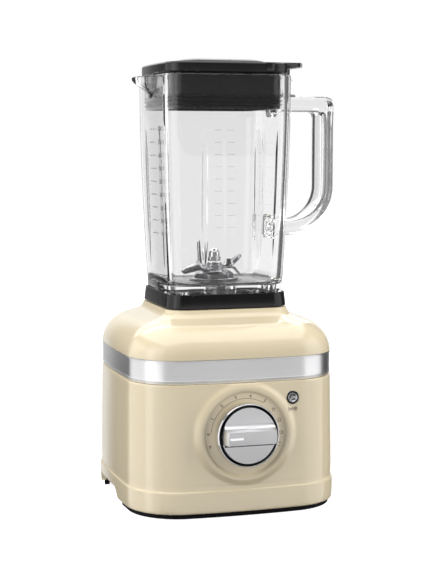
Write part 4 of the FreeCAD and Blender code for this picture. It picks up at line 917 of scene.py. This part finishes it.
def start_button():
    """Bright dished button with a centre dot, in a black ring."""
    front = BEZEL_LOW[1]
    back = BEZEL_HIGH[1]
    ring_r = (BEZEL_HIGH[0] - BEZEL_LOW[0]) / 2
    cap_r = (CAP_HIGH[0] - CAP_LOW[0]) / 2
    bore = cap_r + 0.1
    profile = rounded([(bore, front + 0.3, 0.25), (bore + 0.5, front, 0.3),
                       (ring_r - 0.7, front, 0.5),
                       (ring_r, front + 0.8, 0.4), (ring_r, front + 1.95, 0),
                       (5.7, front + 1.95, 0),
                       (5.7, back, 0.2), (4.4, back, 0.1), (4.4, back - 1.5, 0.1),
                       (bore, back - 1.5, 0.2)], 4)
    obj = add_object("button_ring", *turned_front(profile, BUTTON_X, BUTTON_Z, 96))
    finish_piece(obj, GLOSS_BLACK, "base", ["button_bezel"], 40.0)
    nose = CAP_LOW[1] + 0.1
    dish = [(0.0, nose + 0.3, 0), (0.8, nose + 0.3, 0.25), (1.0, nose + 1.75, 0.1),
            (1.5, nose + 1.75, 0.3),
            (3.0, nose + 1.0, 1.4), (cap_r - 0.7, nose + 0.02, 0.4), (cap_r - 0.3, nose, 0.2),
            (cap_r, nose + 0.4, 0.2),
            (cap_r, nose + 4.2, 0.2), (2.0, nose + 4.2, 0.1), (2.0, CAP_HIGH[1] - 4.6, 0),
            (3.0, CAP_HIGH[1] - 4.6, 0),
            (3.0, CAP_HIGH[1] - 3.8, 0), (2.0, CAP_HIGH[1] - 3.8, 0), (2.0, CAP_HIGH[1], 0.3),
            (0.0, CAP_HIGH[1], 0)]
    dish = rounded(dish, 4, closed=False)
    obj = add_object("start_button_cap", *turned_front(dish, BUTTON_X, BUTTON_Z, 80, closed=False))
    finish_piece(obj, BUTTON, "start_button", ["button_cap"], 40.0)


# ---------------------------------------------------------------- jar

def glass_half(z):
    """Outer half width of the jar: it widens quickly at first, then slowly."""
    rise = np.clip((z - GLASS_BOTTOM) / (GLASS_TOP - GLASS_BOTTOM), 0, 1)
    return GLASS_LOW_HALF + GLASS_GROWTH * math.sin(rise * math.pi / 2) ** 0.9


def glass_shape(z, by=0.0):
    return (glass_half(z) - by, 19.0 - by * 0.9, 0.9, 0.9)


def with_spout(ring, push):
    """Moves the left side of a ring out to the pouring lip."""
    rise = (ring[0][2] - SPOUT_START) / (GLASS_TOP - 2.3 - SPOUT_START)
    if rise <= 0:
        return ring
    rise = min(rise, 1.0)
    rise = rise * rise * (3 - 2 * rise)
    moved = ring.copy()
    for point in moved:
        if point[0] < -40 and abs(point[1]) < SPOUT_HALF_WIDTH:
            share = math.cos(math.pi * point[1] / (2 * SPOUT_HALF_WIDTH)) ** 2
            point[0] -= push * rise * share ** 1.2
            point[2] -= 1.6 * rise ** 2 * share
    return moved


def with_ribs(ring):
    """Raises the upright ribs on the inside of the jar's walls, which fade out at both ends."""
    low, high = RIB_RANGE
    z = ring[0][2]
    ends = min(max((z - low + 8.0) / 50.0, 0.0), max((high + 8.0 - z) / 32.0, 0.0), 1.0)
    ends = ends * ends * (3 - 2 * ends)
    half_width = 2.2 + 2.6 * ends
    height = 1.9 * ends
    moved = ring.copy()
    for point in moved:
        for axis, other in ((0, 1), (1, 0)):
            offset = abs(abs(point[other]) - RIB_PLACE)
            if abs(point[axis]) > 44 and offset < half_width:
                bump = height * math.cos(math.pi * offset / (2 * half_width)) ** 2
                point[axis] -= math.copysign(bump, point[axis])
    return moved


def jar_walls():
    """Rings of the glass: under the floor, up the outside, over the rim and down the inside."""
    sides = 44
    corners = 16
    count = 4 * (2 * sides + corners)
    bottom = GLASS_BOTTOM
    rings = [circle(STEM_HOLE_R, bottom, count)]
    foot = 3.0
    for step in range(6):
        angle = TURN / 4 * step / 5
        by = foot * (1 - math.sin(angle))
        z = bottom + foot * (1 - math.cos(angle))
        rings.append(outline(glass_shape(z, by), z, sides, corners))
    levels = list(np.arange(210.0, 397.0, 4.0)) + list(np.arange(397.5, GLASS_TOP - 2.4, 1.4))
    for z in levels:
        rings.append(with_spout(outline(glass_shape(z), z, sides, corners), SPOUT_PUSH))
    rim = GLASS_WALL / 2
    for step in range(9):
        angle = math.pi * step / 8
        by = rim * (1 - math.cos(angle))
        z = GLASS_TOP - rim + rim * math.sin(angle)
        ring = outline(glass_shape(z, by), z, sides, corners)
        rings.append(with_spout(ring, SPOUT_PUSH - by * 0.2))
    for z in reversed([z for z in levels if z > 224]):
        ring = outline(glass_shape(z, GLASS_WALL), z, sides, corners)
        rings.append(with_ribs(with_spout(ring, SPOUT_PUSH - 1.0)))
    for z, by, corner in ((222.5, 4.6, 14.9), (220.5, 4.75, 14.9), (219.0, 5.1, 14.9),
                          (217.6, 5.75, 15.0),
                          (216.4, 6.6, 15.0), (215.4, 7.7, 15.2), (214.6, 9.0, 15.4),
                          (214.15, 10.4, 15.6),
                          (GLASS_FLOOR, 12.4, 16.0)):
        shape = (glass_half(z) - by, corner, 0.9, 0.9)
        rings.append(outline(shape, z, sides, corners))
    rings.append(circle(27.0, GLASS_FLOOR, count))
    rings.append(circle(STEM_HOLE_R, GLASS_FLOOR, count))
    return join_rings(rings)


def slab_ring(outer, inner, half_width, edge):
    """Rounded rectangle that spans from inner to outer, which are (x, z), and along Y."""
    outer = np.array(outer, float)
    inner = np.array(inner, float)
    thick = np.linalg.norm(outer - inner)
    direction = (outer - inner) / thick
    middle = (outer + inner) / 2
    edge = min(edge, thick / 2 - 0.1, half_width - 0.1)
    u = thick / 2
    path = rounded([(u, -half_width, edge), (u, half_width, edge), (-u, half_width, edge),
                    (-u, -half_width, edge)], 7)
    return np.array([(middle[0] + direction[0] * a, b, middle[1] + direction[1] * a) for a,
                     b in path])


def handle_shape():
    """Strap handle with flared roots, swept from the top arm round to the wall."""
    out = HANDLE_OUT
    near = out - HANDLE_THICK
    top = HANDLE_TOP
    under = top - HANDLE_THICK
    edge = 5.6
    flare = 5.5
    flare_length = 12.0
    stations = []
    wall_top = glass_half(390.0)

    def flared(x, wall):
        return flare * max(0.0, 1 - (x - wall) / flare_length) ** 2.2
    for x in (wall_top - 2.6, wall_top - 0.6, wall_top + 1, wall_top + 2.5, wall_top + 4.5,
              wall_top + 7,
              wall_top + 10, wall_top + 14, 90.0, 99.0):
        grow = flared(max(x, wall_top), wall_top)
        stations.append(((x, top + grow), (x, under - grow), HANDLE_HALF_WIDTH + grow * 0.35))
    for step in range(9):
        angle = TURN / 4 * (1 - step / 8)
        c, s = math.cos(angle), math.sin(angle)
        stations.append(((out - 10 + 10 * c, top - 10 + 10 * s),
                         (near - 5 + 5 * c, under - 5 + 5 * s),
                         HANDLE_HALF_WIDTH))
    for z in (366.0, 352.0, 338.0, 324.0):
        stations.append(((out, z), (near, z), HANDLE_HALF_WIDTH))
    centre = out - HANDLE_THICK / 2 - HANDLE_BEND_R
    far_r = HANDLE_BEND_R + HANDLE_THICK / 2
    near_r = HANDLE_BEND_R - HANDLE_THICK / 2
    wall_low = glass_half(267.0)
    for step in range(25):
        angle = -TURN / 4 * step / 24
        c, s = math.cos(angle), math.sin(angle)
        grow = flared(max(centre + HANDLE_BEND_R * c, wall_low), wall_low)
        stations.append(((centre + far_r * c, HANDLE_BEND_Z + far_r * s - grow * 0.7),
                         (centre + near_r * c, HANDLE_BEND_Z + near_r * s + grow),
                         HANDLE_HALF_WIDTH))
    low = HANDLE_BEND_Z - HANDLE_BEND_R
    for x in (wall_low + 8, wall_low + 5, wall_low + 3, wall_low + 1.5, wall_low, wall_low - 2.6):
        grow = flared(max(x, wall_low), wall_low)
        stations.append(((x, low - HANDLE_THICK / 2 - grow * 0.7),
                         (x, low + HANDLE_THICK / 2 + grow),
                         HANDLE_HALF_WIDTH + grow * 0.3))
    rings = [slab_ring(outer, inner, half, edge) for outer, inner, half in stations]
    return join_rings(rings, capped=True)


def handle_root():
    """Thick glass column between the handle's top arm and the rim."""
    wall = glass_half(400.0)
    high = GLASS_TOP - 0.8
    foot = 384.0
    profile = ((-2.4, 0.0), (6.0, 0.0), (10.5, 0.1), (12.6, 0.9), (13.8, 2.6), (14.3, 5.2),
               (14.7, 9.0), (15.4, 13.0), (16.8, 16.4), (19.2, 18.6), (22.5, 19.6))
    rings = [slab_ring((wall + out, high - drop), (wall + out, foot), 14.6, 5.0)
             for out, drop in profile]
    return join_rings(rings, capped=True)


def jar_glass():
    obj = add_object("glass_jar", *jar_walls())
    boolean(obj, *handle_shape(), "UNION")
    boolean(obj, *handle_root(), "UNION")
    finish_piece(obj, GLASS, "jar", ["jar_glass"], 42.0)


def jar_marks():
    """Measuring lines and figures on the jar's left wall, and faint lines on its back wall."""
    side = []
    back = []
    levels = 9
    low = 264.0
    pitch = 12.6
    proud = 0.25
    for step in range(levels):
        z = low + pitch * step
        wall = glass_half(z)
        for start, end in ((-13.0, -7.0), (-4.0, 4.0)):
            path = rectangle(start, z - 0.4, end, z + 0.4)
            side.append(extrude(path, -wall - proud, -wall + 0.4, "yz"))
        for start, end in ((19.0, 27.0), (33.0, 41.0)):
            path = rectangle(start, z - 0.16, end, z + 0.16)
            back.append(extrude(path, wall - 0.5, wall + proud - 0.2, "xz"))
        figure, faces = text_shape(str((step + 1) * 150), 6.0, 0.0, z, 0.0)
        turned = np.column_stack([-wall - figure[:, 1] * 3 - 0.05, -32.0 - figure[:, 0],
                                  figure[:, 2]])
        side.append((turned, faces))
    obj = add_object("jar_measuring_marks", *merge_shapes(side))
    finish_piece(obj, FROST, "jar", (), 30.0)
    obj = add_object("jar_back_marks", *merge_shapes(back))
    finish_piece(obj, PALE_FROST, "jar", (), 30.0)


def jar_collar():
    """Glossy black collar that the glass sits in."""
    low = COLLAR_LOW[2]
    high = COLLAR_HIGH[2]
    wide = COLLAR_HIGH[0]
    narrow = wide - 1.5
    sides = 20
    corners = 18
    count = 4 * (2 * sides + corners)
    path = rounded([(wide - 3.0, low, 0.3), (wide, low, 0.7), (narrow, high, 1.1),
                    (GLASS_LOW_HALF + 0.9, high, 0.4),
                    (GLASS_LOW_HALF + 0.9, GLASS_BOTTOM - 0.2, 0)], 5, closed=False)
    rings = []
    for half, z in path:
        rings.append(outline((half, 21.0 - (wide - half) * 0.6, 0.6, 0.6), z, sides, corners))
    rings.append(circle(STEM_HOLE_R, GLASS_BOTTOM - 0.2, count))
    rings.append(circle(STEM_HOLE_R, 200.0, count))
    rings.append(outline((wide - 3.0, 18.0, 0.6, 0.6), 200.0, sides, corners))
    obj = add_object("black_jar_collar", *join_rings(rings))
    finish_piece(obj, GLOSS_BLACK, "jar", ["jar_collar"], 40.0)


def bearing_hub():
    """Alloy hub with six flats that rises through the jar's floor and carries the blades' shaft."""
    top = HUB_HIGH[2]
    stem_r = STEM_HOLE_R - 0.3
    seat = GLASS_FLOOR + 1.25
    outer = rounded([(14.4, HUB_LOW[2], 0), (stem_r, HUB_LOW[2], 0.3), (stem_r, seat, 0),
                     (25.0, seat, 0.4),
                     (25.0, seat + 1.6, 0.9), (22.6, seat + 2.3, 0.8), (21.6, seat + 3.4, 1.6),
                     (19.2, seat + 7.2, 3.0), (15.6, top - 1.4, 2.4), (12.6, top, 1.6),
                     (4.5, top, 0.2), (4.5, 225.0, 0), (6.6, 225.0, 0), (6.6, 208.0, 0),
                     (14.4, 208.0, 0)], 4)
    count = 144
    rings = [hexagon_ring(radius, z, count, 20.6) if z > seat + 2.6 and radius > 12.8
             else circle(radius, z, count) for radius, z in outer]
    obj = add_object("blade_bearing_hub", *join_rings(rings))
    finish_piece(obj, HUB, "jar", ["bearing_housing"], 28.0)


# ---------------------------------------------------------------- blades

def blade_arm(azimuth, base, root, reach, width, roll, bend, tip_length, tip_width):
    """Flat root, a twist, a rolled plate out to reach, and a bent, tapered and ground tip."""
    bend_r = 2.6
    turn = math.radians(bend)
    side = math.copysign(1.0, turn)
    knuckle = bend_r * abs(turn)
    total = reach + knuckle + tip_length
    pivot = -width / 2 if roll > 0 else width / 2
    across = 9
    steps = 60
    rings = []
    for step in range(steps + 1):
        length = total * step / steps
        rest = max(length - reach - knuckle, 0.0)
        angle = turn * min(max((length - reach) / knuckle, 0.0), 1.0)
        x = min(length, reach) + bend_r * math.sin(abs(angle)) + rest * math.cos(turn)
        z = side * bend_r * (1 - math.cos(angle)) + rest * math.sin(turn)
        twist = min(max((length - root) / 4.0, 0.0), 1.0)
        twist = math.radians(roll) * twist * twist * (3 - 2 * twist)
        share = rest / tip_length
        edge_high = width / 2
        narrow = width + (tip_width - width) * min(share / 0.72, 1.0)
        end = max(share - 0.72, 0.0) / 0.28
        edge_low = edge_high - narrow * (1 - 0.45 * end ** 1.5)
        edge_high -= narrow * 0.45 * max(end - 0.6, 0.0) ** 2 * 5
        ground = min(max((length - reach + 1.0) / 5.0, 0.0), 1.0)
        upper = []
        lower = []
        for place in range(across + 1):
            part = place / across
            v = edge_low + (edge_high - edge_low) * part
            height = BLADE_THICK * (1 - 0.86 * ground * max(1 - part / 0.4, 0.0))
            for lift, row in ((height, upper), (0.0, lower)):
                px = x - math.sin(angle) * lift
                pz = z + math.cos(angle) * lift
                row.append((px, pivot + (v - pivot) * math.cos(twist) - pz * math.sin(twist),
                            (v - pivot) * math.sin(twist) + pz * math.cos(twist)))
        rings.append(np.array(upper + lower[::-1]))
    points, faces = join_rings(rings, capped=True)
    c, s = math.cos(math.radians(azimuth)), math.sin(math.radians(azimuth))
    turned = np.column_stack([points[:, 0] * c - points[:, 1] * s,
                              points[:, 0] * s + points[:, 1] * c,
                              points[:, 2] + base])
    return turned, faces


def blade_pair(name, base, arms, node):
    top = base + BLADE_THICK
    profile = rounded([(BLADE_BORE_R, base, 0), (9.5, base, 0.3), (9.5, top, 0.3),
                       (BLADE_BORE_R, top, 0)], 3)
    obj = add_object(name, *join_rings(lathe(profile, 64)))
    for arm in arms:
        boolean(obj, *blade_arm(*arm), "UNION")
    rings = lathe([(0.0, base - 4), (BLADE_BORE_R, base - 4), (BLADE_BORE_R, base + 6),
                   (0.0, base + 6)], 48)
    boolean(obj, *join_rings(rings, closed=False))
    bevel(obj, 0.1, 2, 50.0)
    finish_piece(obj, BLADE, "blades", [node], 30.0)


def blades():
    lower = LOWER_BLADE_Z
    upper = UPPER_BLADE_Z
    blade_pair("cutting_blade_lower", lower,
               [(196.0, lower, 12.0, 18.0, 14.0, -30.0, -12.0, 21.0, 11.0),
                                              (12.0, lower, 12.0, 20.0, 11.0, 10.0, -42.0, 15.5,
                                               8.0)], "lower_blade")
    blade_pair("cutting_blade_upper", upper,
               [(130.0, upper, 8.5, 13.4, 10.0, -4.0, 90.0, 22.8, 7.5),
                                              (-16.0, upper, 8.5, 16.5, 11.0, 34.0, 40.0, 11.5,
                                               8.0)], "upper_blade")


def acorn_nut():
    """Domed nut with a flange washer, six flats and chamfered corners."""
    low = NUT_LOW[2]
    flat_top = low + 6.4
    dome = NUT_HIGH[2]
    profile = [(2.95, low), (7.0, low), (7.4, low + 0.4), (7.2, low + 1.0), (6.4, low + 1.5),
               (6.0, low + 1.8),
               (6.6, low + 2.3), (6.6, low + 3.4), (6.6, flat_top - 1.0), (6.1, flat_top - 0.3),
               (5.5, flat_top)]
    radius = 5.5
    middle = dome - radius
    for step in range(11):
        angle = TURN / 4 * step / 10
        profile.append((radius * math.cos(angle), max(middle + radius * math.sin(angle), flat_top)))
    profile.append((0.0, dome))
    profile += [(0.0, middle), (2.95, middle)]
    count = 120
    rings = [hexagon_ring(radius, z, count, 6.6, 0.4) if low + 1.6 < z < flat_top - 0.2
             else circle(radius, z, count) for radius, z in profile]
    obj = add_object("blade_acorn_nut", *join_rings(rings))
    finish_piece(obj, CHROME, "blades", ["acorn_nut"], 28.0)


# ---------------------------------------------------------------- lid

LID_SHAPE = (LID_HIGH[1], 19.3, 2.75, 2.75)
PLUG_SHAPE = (55.6, 15.0, 0.8, 0.8)
TUBE_SHAPE = (34.0, 12.0, 0.8, 0.8)


def shrunk(shape, by):
    return (shape[0] - by, max(shape[1] - by, 2.0), shape[2], shape[3])


def lid_shell():
    """Black lid: rounded rim, lifting tab on the handle's side, hollow plug and filler tube."""
    sides = 20
    corners = 18
    bottom = 418.2
    top = LID_TOP
    plug = LID_LOW[2]
    rim = rounded([(7.3, bottom, 0.3), (0.5, bottom, 0.5), (0.0, bottom + 0.8, 0.6),
                   (0.0, top - 1.6, 1.6),
                   (1.8, top, 1.4), (20.0, top - 0.2, 0)], 5, closed=False)
    rings = [outline(shrunk(LID_SHAPE, by), z, sides, corners) for by, z in rim]
    tube_in = shrunk(TUBE_SHAPE, 2.6)
    for shape, z in ((tube_in, top - 0.3), (tube_in, plug + 6.3),
                     (shrunk(TUBE_SHAPE, 2.2), plug + 6.0),
                     (shrunk(TUBE_SHAPE, 0.4), plug + 6.0), (TUBE_SHAPE, plug + 6.4),
                     (TUBE_SHAPE, top - 4.0),
                     (shrunk(PLUG_SHAPE, 3.0), top - 4.0), (shrunk(PLUG_SHAPE, 3.0), plug + 0.4),
                     (shrunk(PLUG_SHAPE, 2.6), plug), (shrunk(PLUG_SHAPE, 0.6), plug),
                     (shrunk(PLUG_SHAPE, 0.1), plug + 0.3), (PLUG_SHAPE, plug + 0.9),
                     (PLUG_SHAPE, 386.0),
                     (shrunk(PLUG_SHAPE, 1.6), 386.05), (shrunk(PLUG_SHAPE, 1.6), 396.95),
                     (PLUG_SHAPE, 397.0),
                     (PLUG_SHAPE, bottom - 0.3)):
        rings.append(outline(shape, z, sides, corners))
    obj = add_object("black_lid", *join_rings(rings))
    reach = LID_HIGH[0]
    root = 40.0
    root_half = LID_HIGH[1] - 0.3
    plan = [(root - 6.0, -root_half, 0), (root, -root_half, 10.0), (74.0, -46.0, 16.0),
            (reach, -8.0, 24.0),
            (reach, 8.0, 24.0), (74.0, 46.0, 16.0), (root, root_half, 10.0),
            (root - 6.0, root_half, 0)]
    plan = rounded(plan, 12)
    level = 58.0
    rings = []
    for depth, by in ((-4.8, 0.9), (-4.55, 0.3), (-3.9, 0.0), (-1.2, 0.0), (-0.5, 0.25),
                      (-0.15, 0.7), (-0.05, 1.5)):
        centre = np.array((root - 6.0, 0.0))
        ring = []
        for u, v in plan:
            away = np.array((u, v)) - centre
            moved = centre + away * (1 - by / max(np.linalg.norm(away), 1.0))
            lift = max(moved[0] - level, 0.0)
            deeper = 1 + min(max((64.0 - moved[0]) / 20.0, 0.0), 0.9) ** 2
            ring.append((moved[0], moved[1],
                         top + depth * deeper + TAB_LIFT * (lift / (reach - level)) ** 1.3))
        rings.append(np.array(ring))
    flange = add_object("tab", *join_rings(rings, capped=True))
    web = rounded([(40.0, -15.0, 0), (77.0, -15.0, 9.0), (77.0, 15.0, 9.0), (40.0, 15.0, 0)], 8)
    body = add_object("web", *extrude(web, bottom + 0.8, top - 3.5, "xy"))
    bevel(body, 0.8, 3, 50.0)
    for part in (flange, body):
        points, faces = shape_of(part.data)
        boolean(obj, points / MM, faces, "UNION")
        bpy.data.objects.remove(part)
    finish_piece(obj, LID_BLACK, "lid", ["lid_shell"], 32.0)


def lid_seal():
    """Rubber sleeve with three rounded lips."""
    low = SEAL_LOW[2]
    high = SEAL_HIGH[2]
    proud = -1.9
    corners = [(1.5, low, 0), (0.0, low, 0.2)]
    for z in (387.4, 391.1, 394.8):
        corners += [(0.0, z - 0.1, 0.2), (proud, z + 0.3, 0.35), (proud, z + 0.9, 0.35),
                    (0.0, z + 1.3, 0.2)]
    corners += [(0.0, high, 0.2), (1.5, high, 0)]
    rings = [outline(shrunk(PLUG_SHAPE, by), z, 16, 14) for by, z in rounded(corners, 3)]
    obj = add_object("lid_seal_lips", *join_rings(rings))
    finish_piece(obj, SEAL, "lid", ["lid_seal"], 40.0)


def lid_cap():
    """Filler cap: a shallow crown over a hollow cup."""
    sides = 16
    corners = 16
    low = LID_TOP + 0.3
    high = CROWN_HIGH[2]
    half = CROWN_HIGH[0]
    crown = (half, 20.0, 2.0, 2.0)
    cup = (30.9, 9.0, 0.8, 0.8)
    bottom = CROWN_LOW[2]
    count = 4 * (2 * sides + corners)
    rings = [outline(cup, low, sides, corners), outline(shrunk(crown, 0.5), low, sides, corners)]
    for by, z in ((0.1, low + 0.25), (0.0, low + 0.7), (0.15, low + 1.2), (0.6, low + 1.6),
                  (2.0, low + 2.1),
                  (6.0, high - 1.0), (11.0, high - 0.4), (18.0, high - 0.1), (26.0, high),
                  (38.0, high)):
        rings.append(outline(shrunk(crown, by), z, sides, corners))
    rings.append(circle(0.0, high, count))
    rings.append(circle(0.0, low - 1.4, count))
    inner = shrunk(cup, 2.6)
    for shape, z in ((inner, low - 1.4), (inner, bottom + 0.4), (shrunk(cup, 2.2), bottom),
                     (shrunk(cup, 0.4), bottom), (cup, bottom + 0.4)):
        rings.append(outline(shape, z, sides, corners))
    obj = add_object("filler_cap", *join_rings(rings))
    finish_piece(obj, LID_BLACK, "cap", ["lid_cap"], 35.0)


# ---------------------------------------------------------------- nodes kept from the CAD model

KEPT = {
    RUBBER: ("jar_seat_pad", "rubber_feet", "motor_mounts", "drive_coupling", "button_spring"),
    RIBBED_RUBBER: ("bottom_plate",),
    GREY_PLASTIC: ("coupling_guard", "fan_shroud", "brush_ring", "retaining_nut"),
    SCREW: ("bottom_screws", "housing_screws", "motor_bolts"),
    LAMINATED: ("motor_stator", "rotor_core"),
    COPPER: ("field_coils", "rotor_windings", "commutator"),
    ALLOY: ("motor_lower_bracket", "motor_upper_bracket", "heat_sink"),
    BEARING: ("lower_bearing", "upper_bearing", "motor_shaft", "stator_spacers", "knob_shaft",
              "blade_shaft"),
    BRONZE: ("brush_holders", "brush_springs", "blade_bushes"),
    CARBON: ("carbon_brushes",),
    BLACK_PLASTIC: ("rotary_encoder", "power_switch_chip", "start_switch", "cooling_fan",
                    "driven_coupling"),
    BOARD: ("control_board", "switch_board"),
    LENS: ("status_lamp", "board_standoffs"),
    SEAL: ("jar_gasket", "shaft_seal"),
    BLADE: ("blade_washer",),
}


def paint_kept_nodes():
    for material, names in KEPT.items():
        for name in names:
            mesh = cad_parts[name].data
            if not mesh.materials:
                mesh.materials.append(material)
            for index in range(len(mesh.materials)):
                mesh.materials[index] = material


# ---------------------------------------------------------------- floor, light and camera

def area_light(name, place, size, radiance, target=(0.0, 0.0, 0.2)):
    """Soft rectangular lamp that faces its target; radiance is what a mirror would show."""
    lamp = bpy.data.lights.new(name, "AREA")
    lamp.shape = "RECTANGLE"
    lamp.size, lamp.size_y = size
    lamp.energy = radiance * math.pi * size[0] * size[1]
    holder = new_object(name, lamp)
    holder.location = place
    away = np.array(place) - np.array(target)
    flat = math.hypot(away[0], away[1])
    holder.rotation_euler = (math.atan2(flat, away[2]), 0.0, math.atan2(away[0], -away[1]))
    holder.visible_camera = False
    return holder


def on_circle(degrees, distance, height):
    """A place round the object; 0 degrees is in front, and positive turns towards -X."""
    angle = math.radians(degrees)
    return (-distance * math.sin(angle), -distance * math.cos(angle), height)


def towards(nodes, links, place, direction, low, high, dark, bright):
    """A value that grows from dark to bright as the direction seen comes near to the one given."""
    dot = nodes.new("ShaderNodeVectorMath")
    dot.operation = "DOT_PRODUCT"
    dot.inputs[1].default_value = direction
    links.new(place.outputs["Generated"], dot.inputs[0])
    ramp = nodes.new("ShaderNodeMapRange")
    ramp.interpolation_type = "SMOOTHSTEP"
    ramp.inputs["From Min"].default_value = low
    ramp.inputs["From Max"].default_value = high
    ramp.inputs["To Min"].default_value = dark
    ramp.inputs["To Max"].default_value = bright
    links.new(dot.outputs["Value"], ramp.inputs["Value"])
    return ramp.outputs["Result"]


def larger(nodes, links, first, second):
    pick = nodes.new("ShaderNodeMath")
    pick.operation = "MAXIMUM"
    links.new(first, pick.inputs[0])
    links.new(second, pick.inputs[1])
    return pick.outputs["Value"]


CAMERA_TURN = math.radians(16.84)
CAMERA_TILT = math.radians(5.86)
GLASS_SIDE = 152.0


def hide_from(obj, *rays):
    """Keeps an object out of these kinds of rays."""
    for ray in rays:
        setattr(obj, "visible_" + ray, False)


def world_light():
    """White for the camera; other rays see a bright wall behind, grey in front, dark between."""
    world = bpy.data.worlds.new("studio")
    bpy.context.scene.world = world
    world.use_nodes = True
    nodes = world.node_tree.nodes
    links = world.node_tree.links
    white = nodes["Background"]
    set_inputs(white, {"Color": (1, 1, 1, 1)})
    room = nodes.new("ShaderNodeBackground")
    place = nodes.new("ShaderNodeTexCoord")
    aside, ahead = math.sin(CAMERA_TURN), math.cos(CAMERA_TURN)
    dark = 0.10
    wall = towards(nodes, links, place, (aside, ahead, -0.05), 0.84, 0.92, dark, 1.06)
    front = towards(nodes, links, place, (-aside, -ahead, 0.0), -0.20, 0.60, dark, 0.22)
    links.new(larger(nodes, links, wall, front), room.inputs["Strength"])
    path = nodes.new("ShaderNodeLightPath")
    mix = nodes.new("ShaderNodeMixShader")
    links.new(path.outputs["Is Camera Ray"], mix.inputs["Fac"])
    links.new(room.outputs["Background"], mix.inputs[1])
    links.new(white.outputs["Background"], mix.inputs[2])
    links.new(mix.outputs["Shader"], nodes["World Output"].inputs["Surface"])


def lamps():
    """Side strips and boxes that light, cards that only reflect, and fills that only light."""
    at = (0.0, 0.0, 0.30)
    area_light("left_strip", on_circle(66.0, 1.5, 0.30), (1.00, 2.0), 1.15, at)
    area_light("right_strip", on_circle(-66.0, 1.5, 0.30), (1.25, 2.0), 1.12, at)
    area_light("top_box", (0.0, 0.30, 1.60), (2.6, 2.7), 1.75, (0.0, 0.30, 0.0))
    area_light("back_box", (0.2, 2.20, 1.75), (3.2, 1.5), 1.3, at)
    cards = (("front_card", on_circle(0.0, 2.5, -0.50), (5.2, 1.4), 1.02, (0.0, 0.0, -0.50)),
             ("left_card", on_circle(104.0, 2.0, 0.10), (3.0, 2.4), 0.95, (0.0, 0.0, 0.10)))
    for card in cards:
        hide_from(area_light(*card), "diffuse", "transmission")
    for fill in (("left_fill", on_circle(75.0, 1.6, 0.80), (1.2, 1.2), 3.1),
                 ("right_fill", on_circle(-70.0, 1.6, 0.60), (1.2, 1.2), 2.9)):
        hide_from(area_light(*fill), "glossy", "transmission")
    behind = area_light("glass_card", on_circle(GLASS_SIDE, 2.2, 0.30), (1.9, 2.6), 1.0, at)
    hide_from(behind, "diffuse", "glossy")


def pale_floor():
    """White floor that only the camera sees."""
    reach = 12.0
    mesh = bpy.data.meshes.new("floor")
    corners = [(x, y, 0.0) for x, y in rectangle(-reach, -reach, reach, reach)]
    mesh.from_pydata(corners, [], [(0, 1, 2, 3)])
    pale = surface("pale_floor", (0.93, 0.93, 0.93), (0.85, 0.95), tint=0.01, scale=3.0,
                   specular=0.1)
    set_inputs(pale.node_tree.nodes["Principled BSDF"],
               {"Emission Color": (1, 1, 1, 1), "Emission Strength": 1.0})
    mesh.materials.append(pale)
    floor = new_object("floor", mesh)
    hide_from(floor, "diffuse", "glossy", "transmission", "shadow")


def camera():
    data = bpy.data.cameras.new("camera")
    data.lens = 88.1
    data.sensor_width = 36.0
    holder = new_object("camera", data)
    holder.location = (-0.4048, -1.3492, 0.3504)
    holder.rotation_euler = (TURN / 4 - CAMERA_TILT, 0.0, -CAMERA_TURN)
    bpy.context.scene.camera = holder


for build in (lower_housing, upper_housing, trim_band, cord_grommet, dial_cup, dial_groove,
              dial_disc, dial_marks, start_button, jar_glass, jar_marks, jar_collar, bearing_hub,
              blades, acorn_nut, lid_shell, lid_seal, lid_cap, paint_kept_nodes, world_light,
              lamps, pale_floor, camera):
    build()
scene = bpy.context.scene
scene.view_settings.view_transform = "Standard"
scene.cycles.max_bounces = 24
scene.cycles.transmission_bounces = 24
scene.cycles.transparent_max_bounces = 24
scene.cycles.glossy_bounces = 8
scene.cycles.use_denoising = True
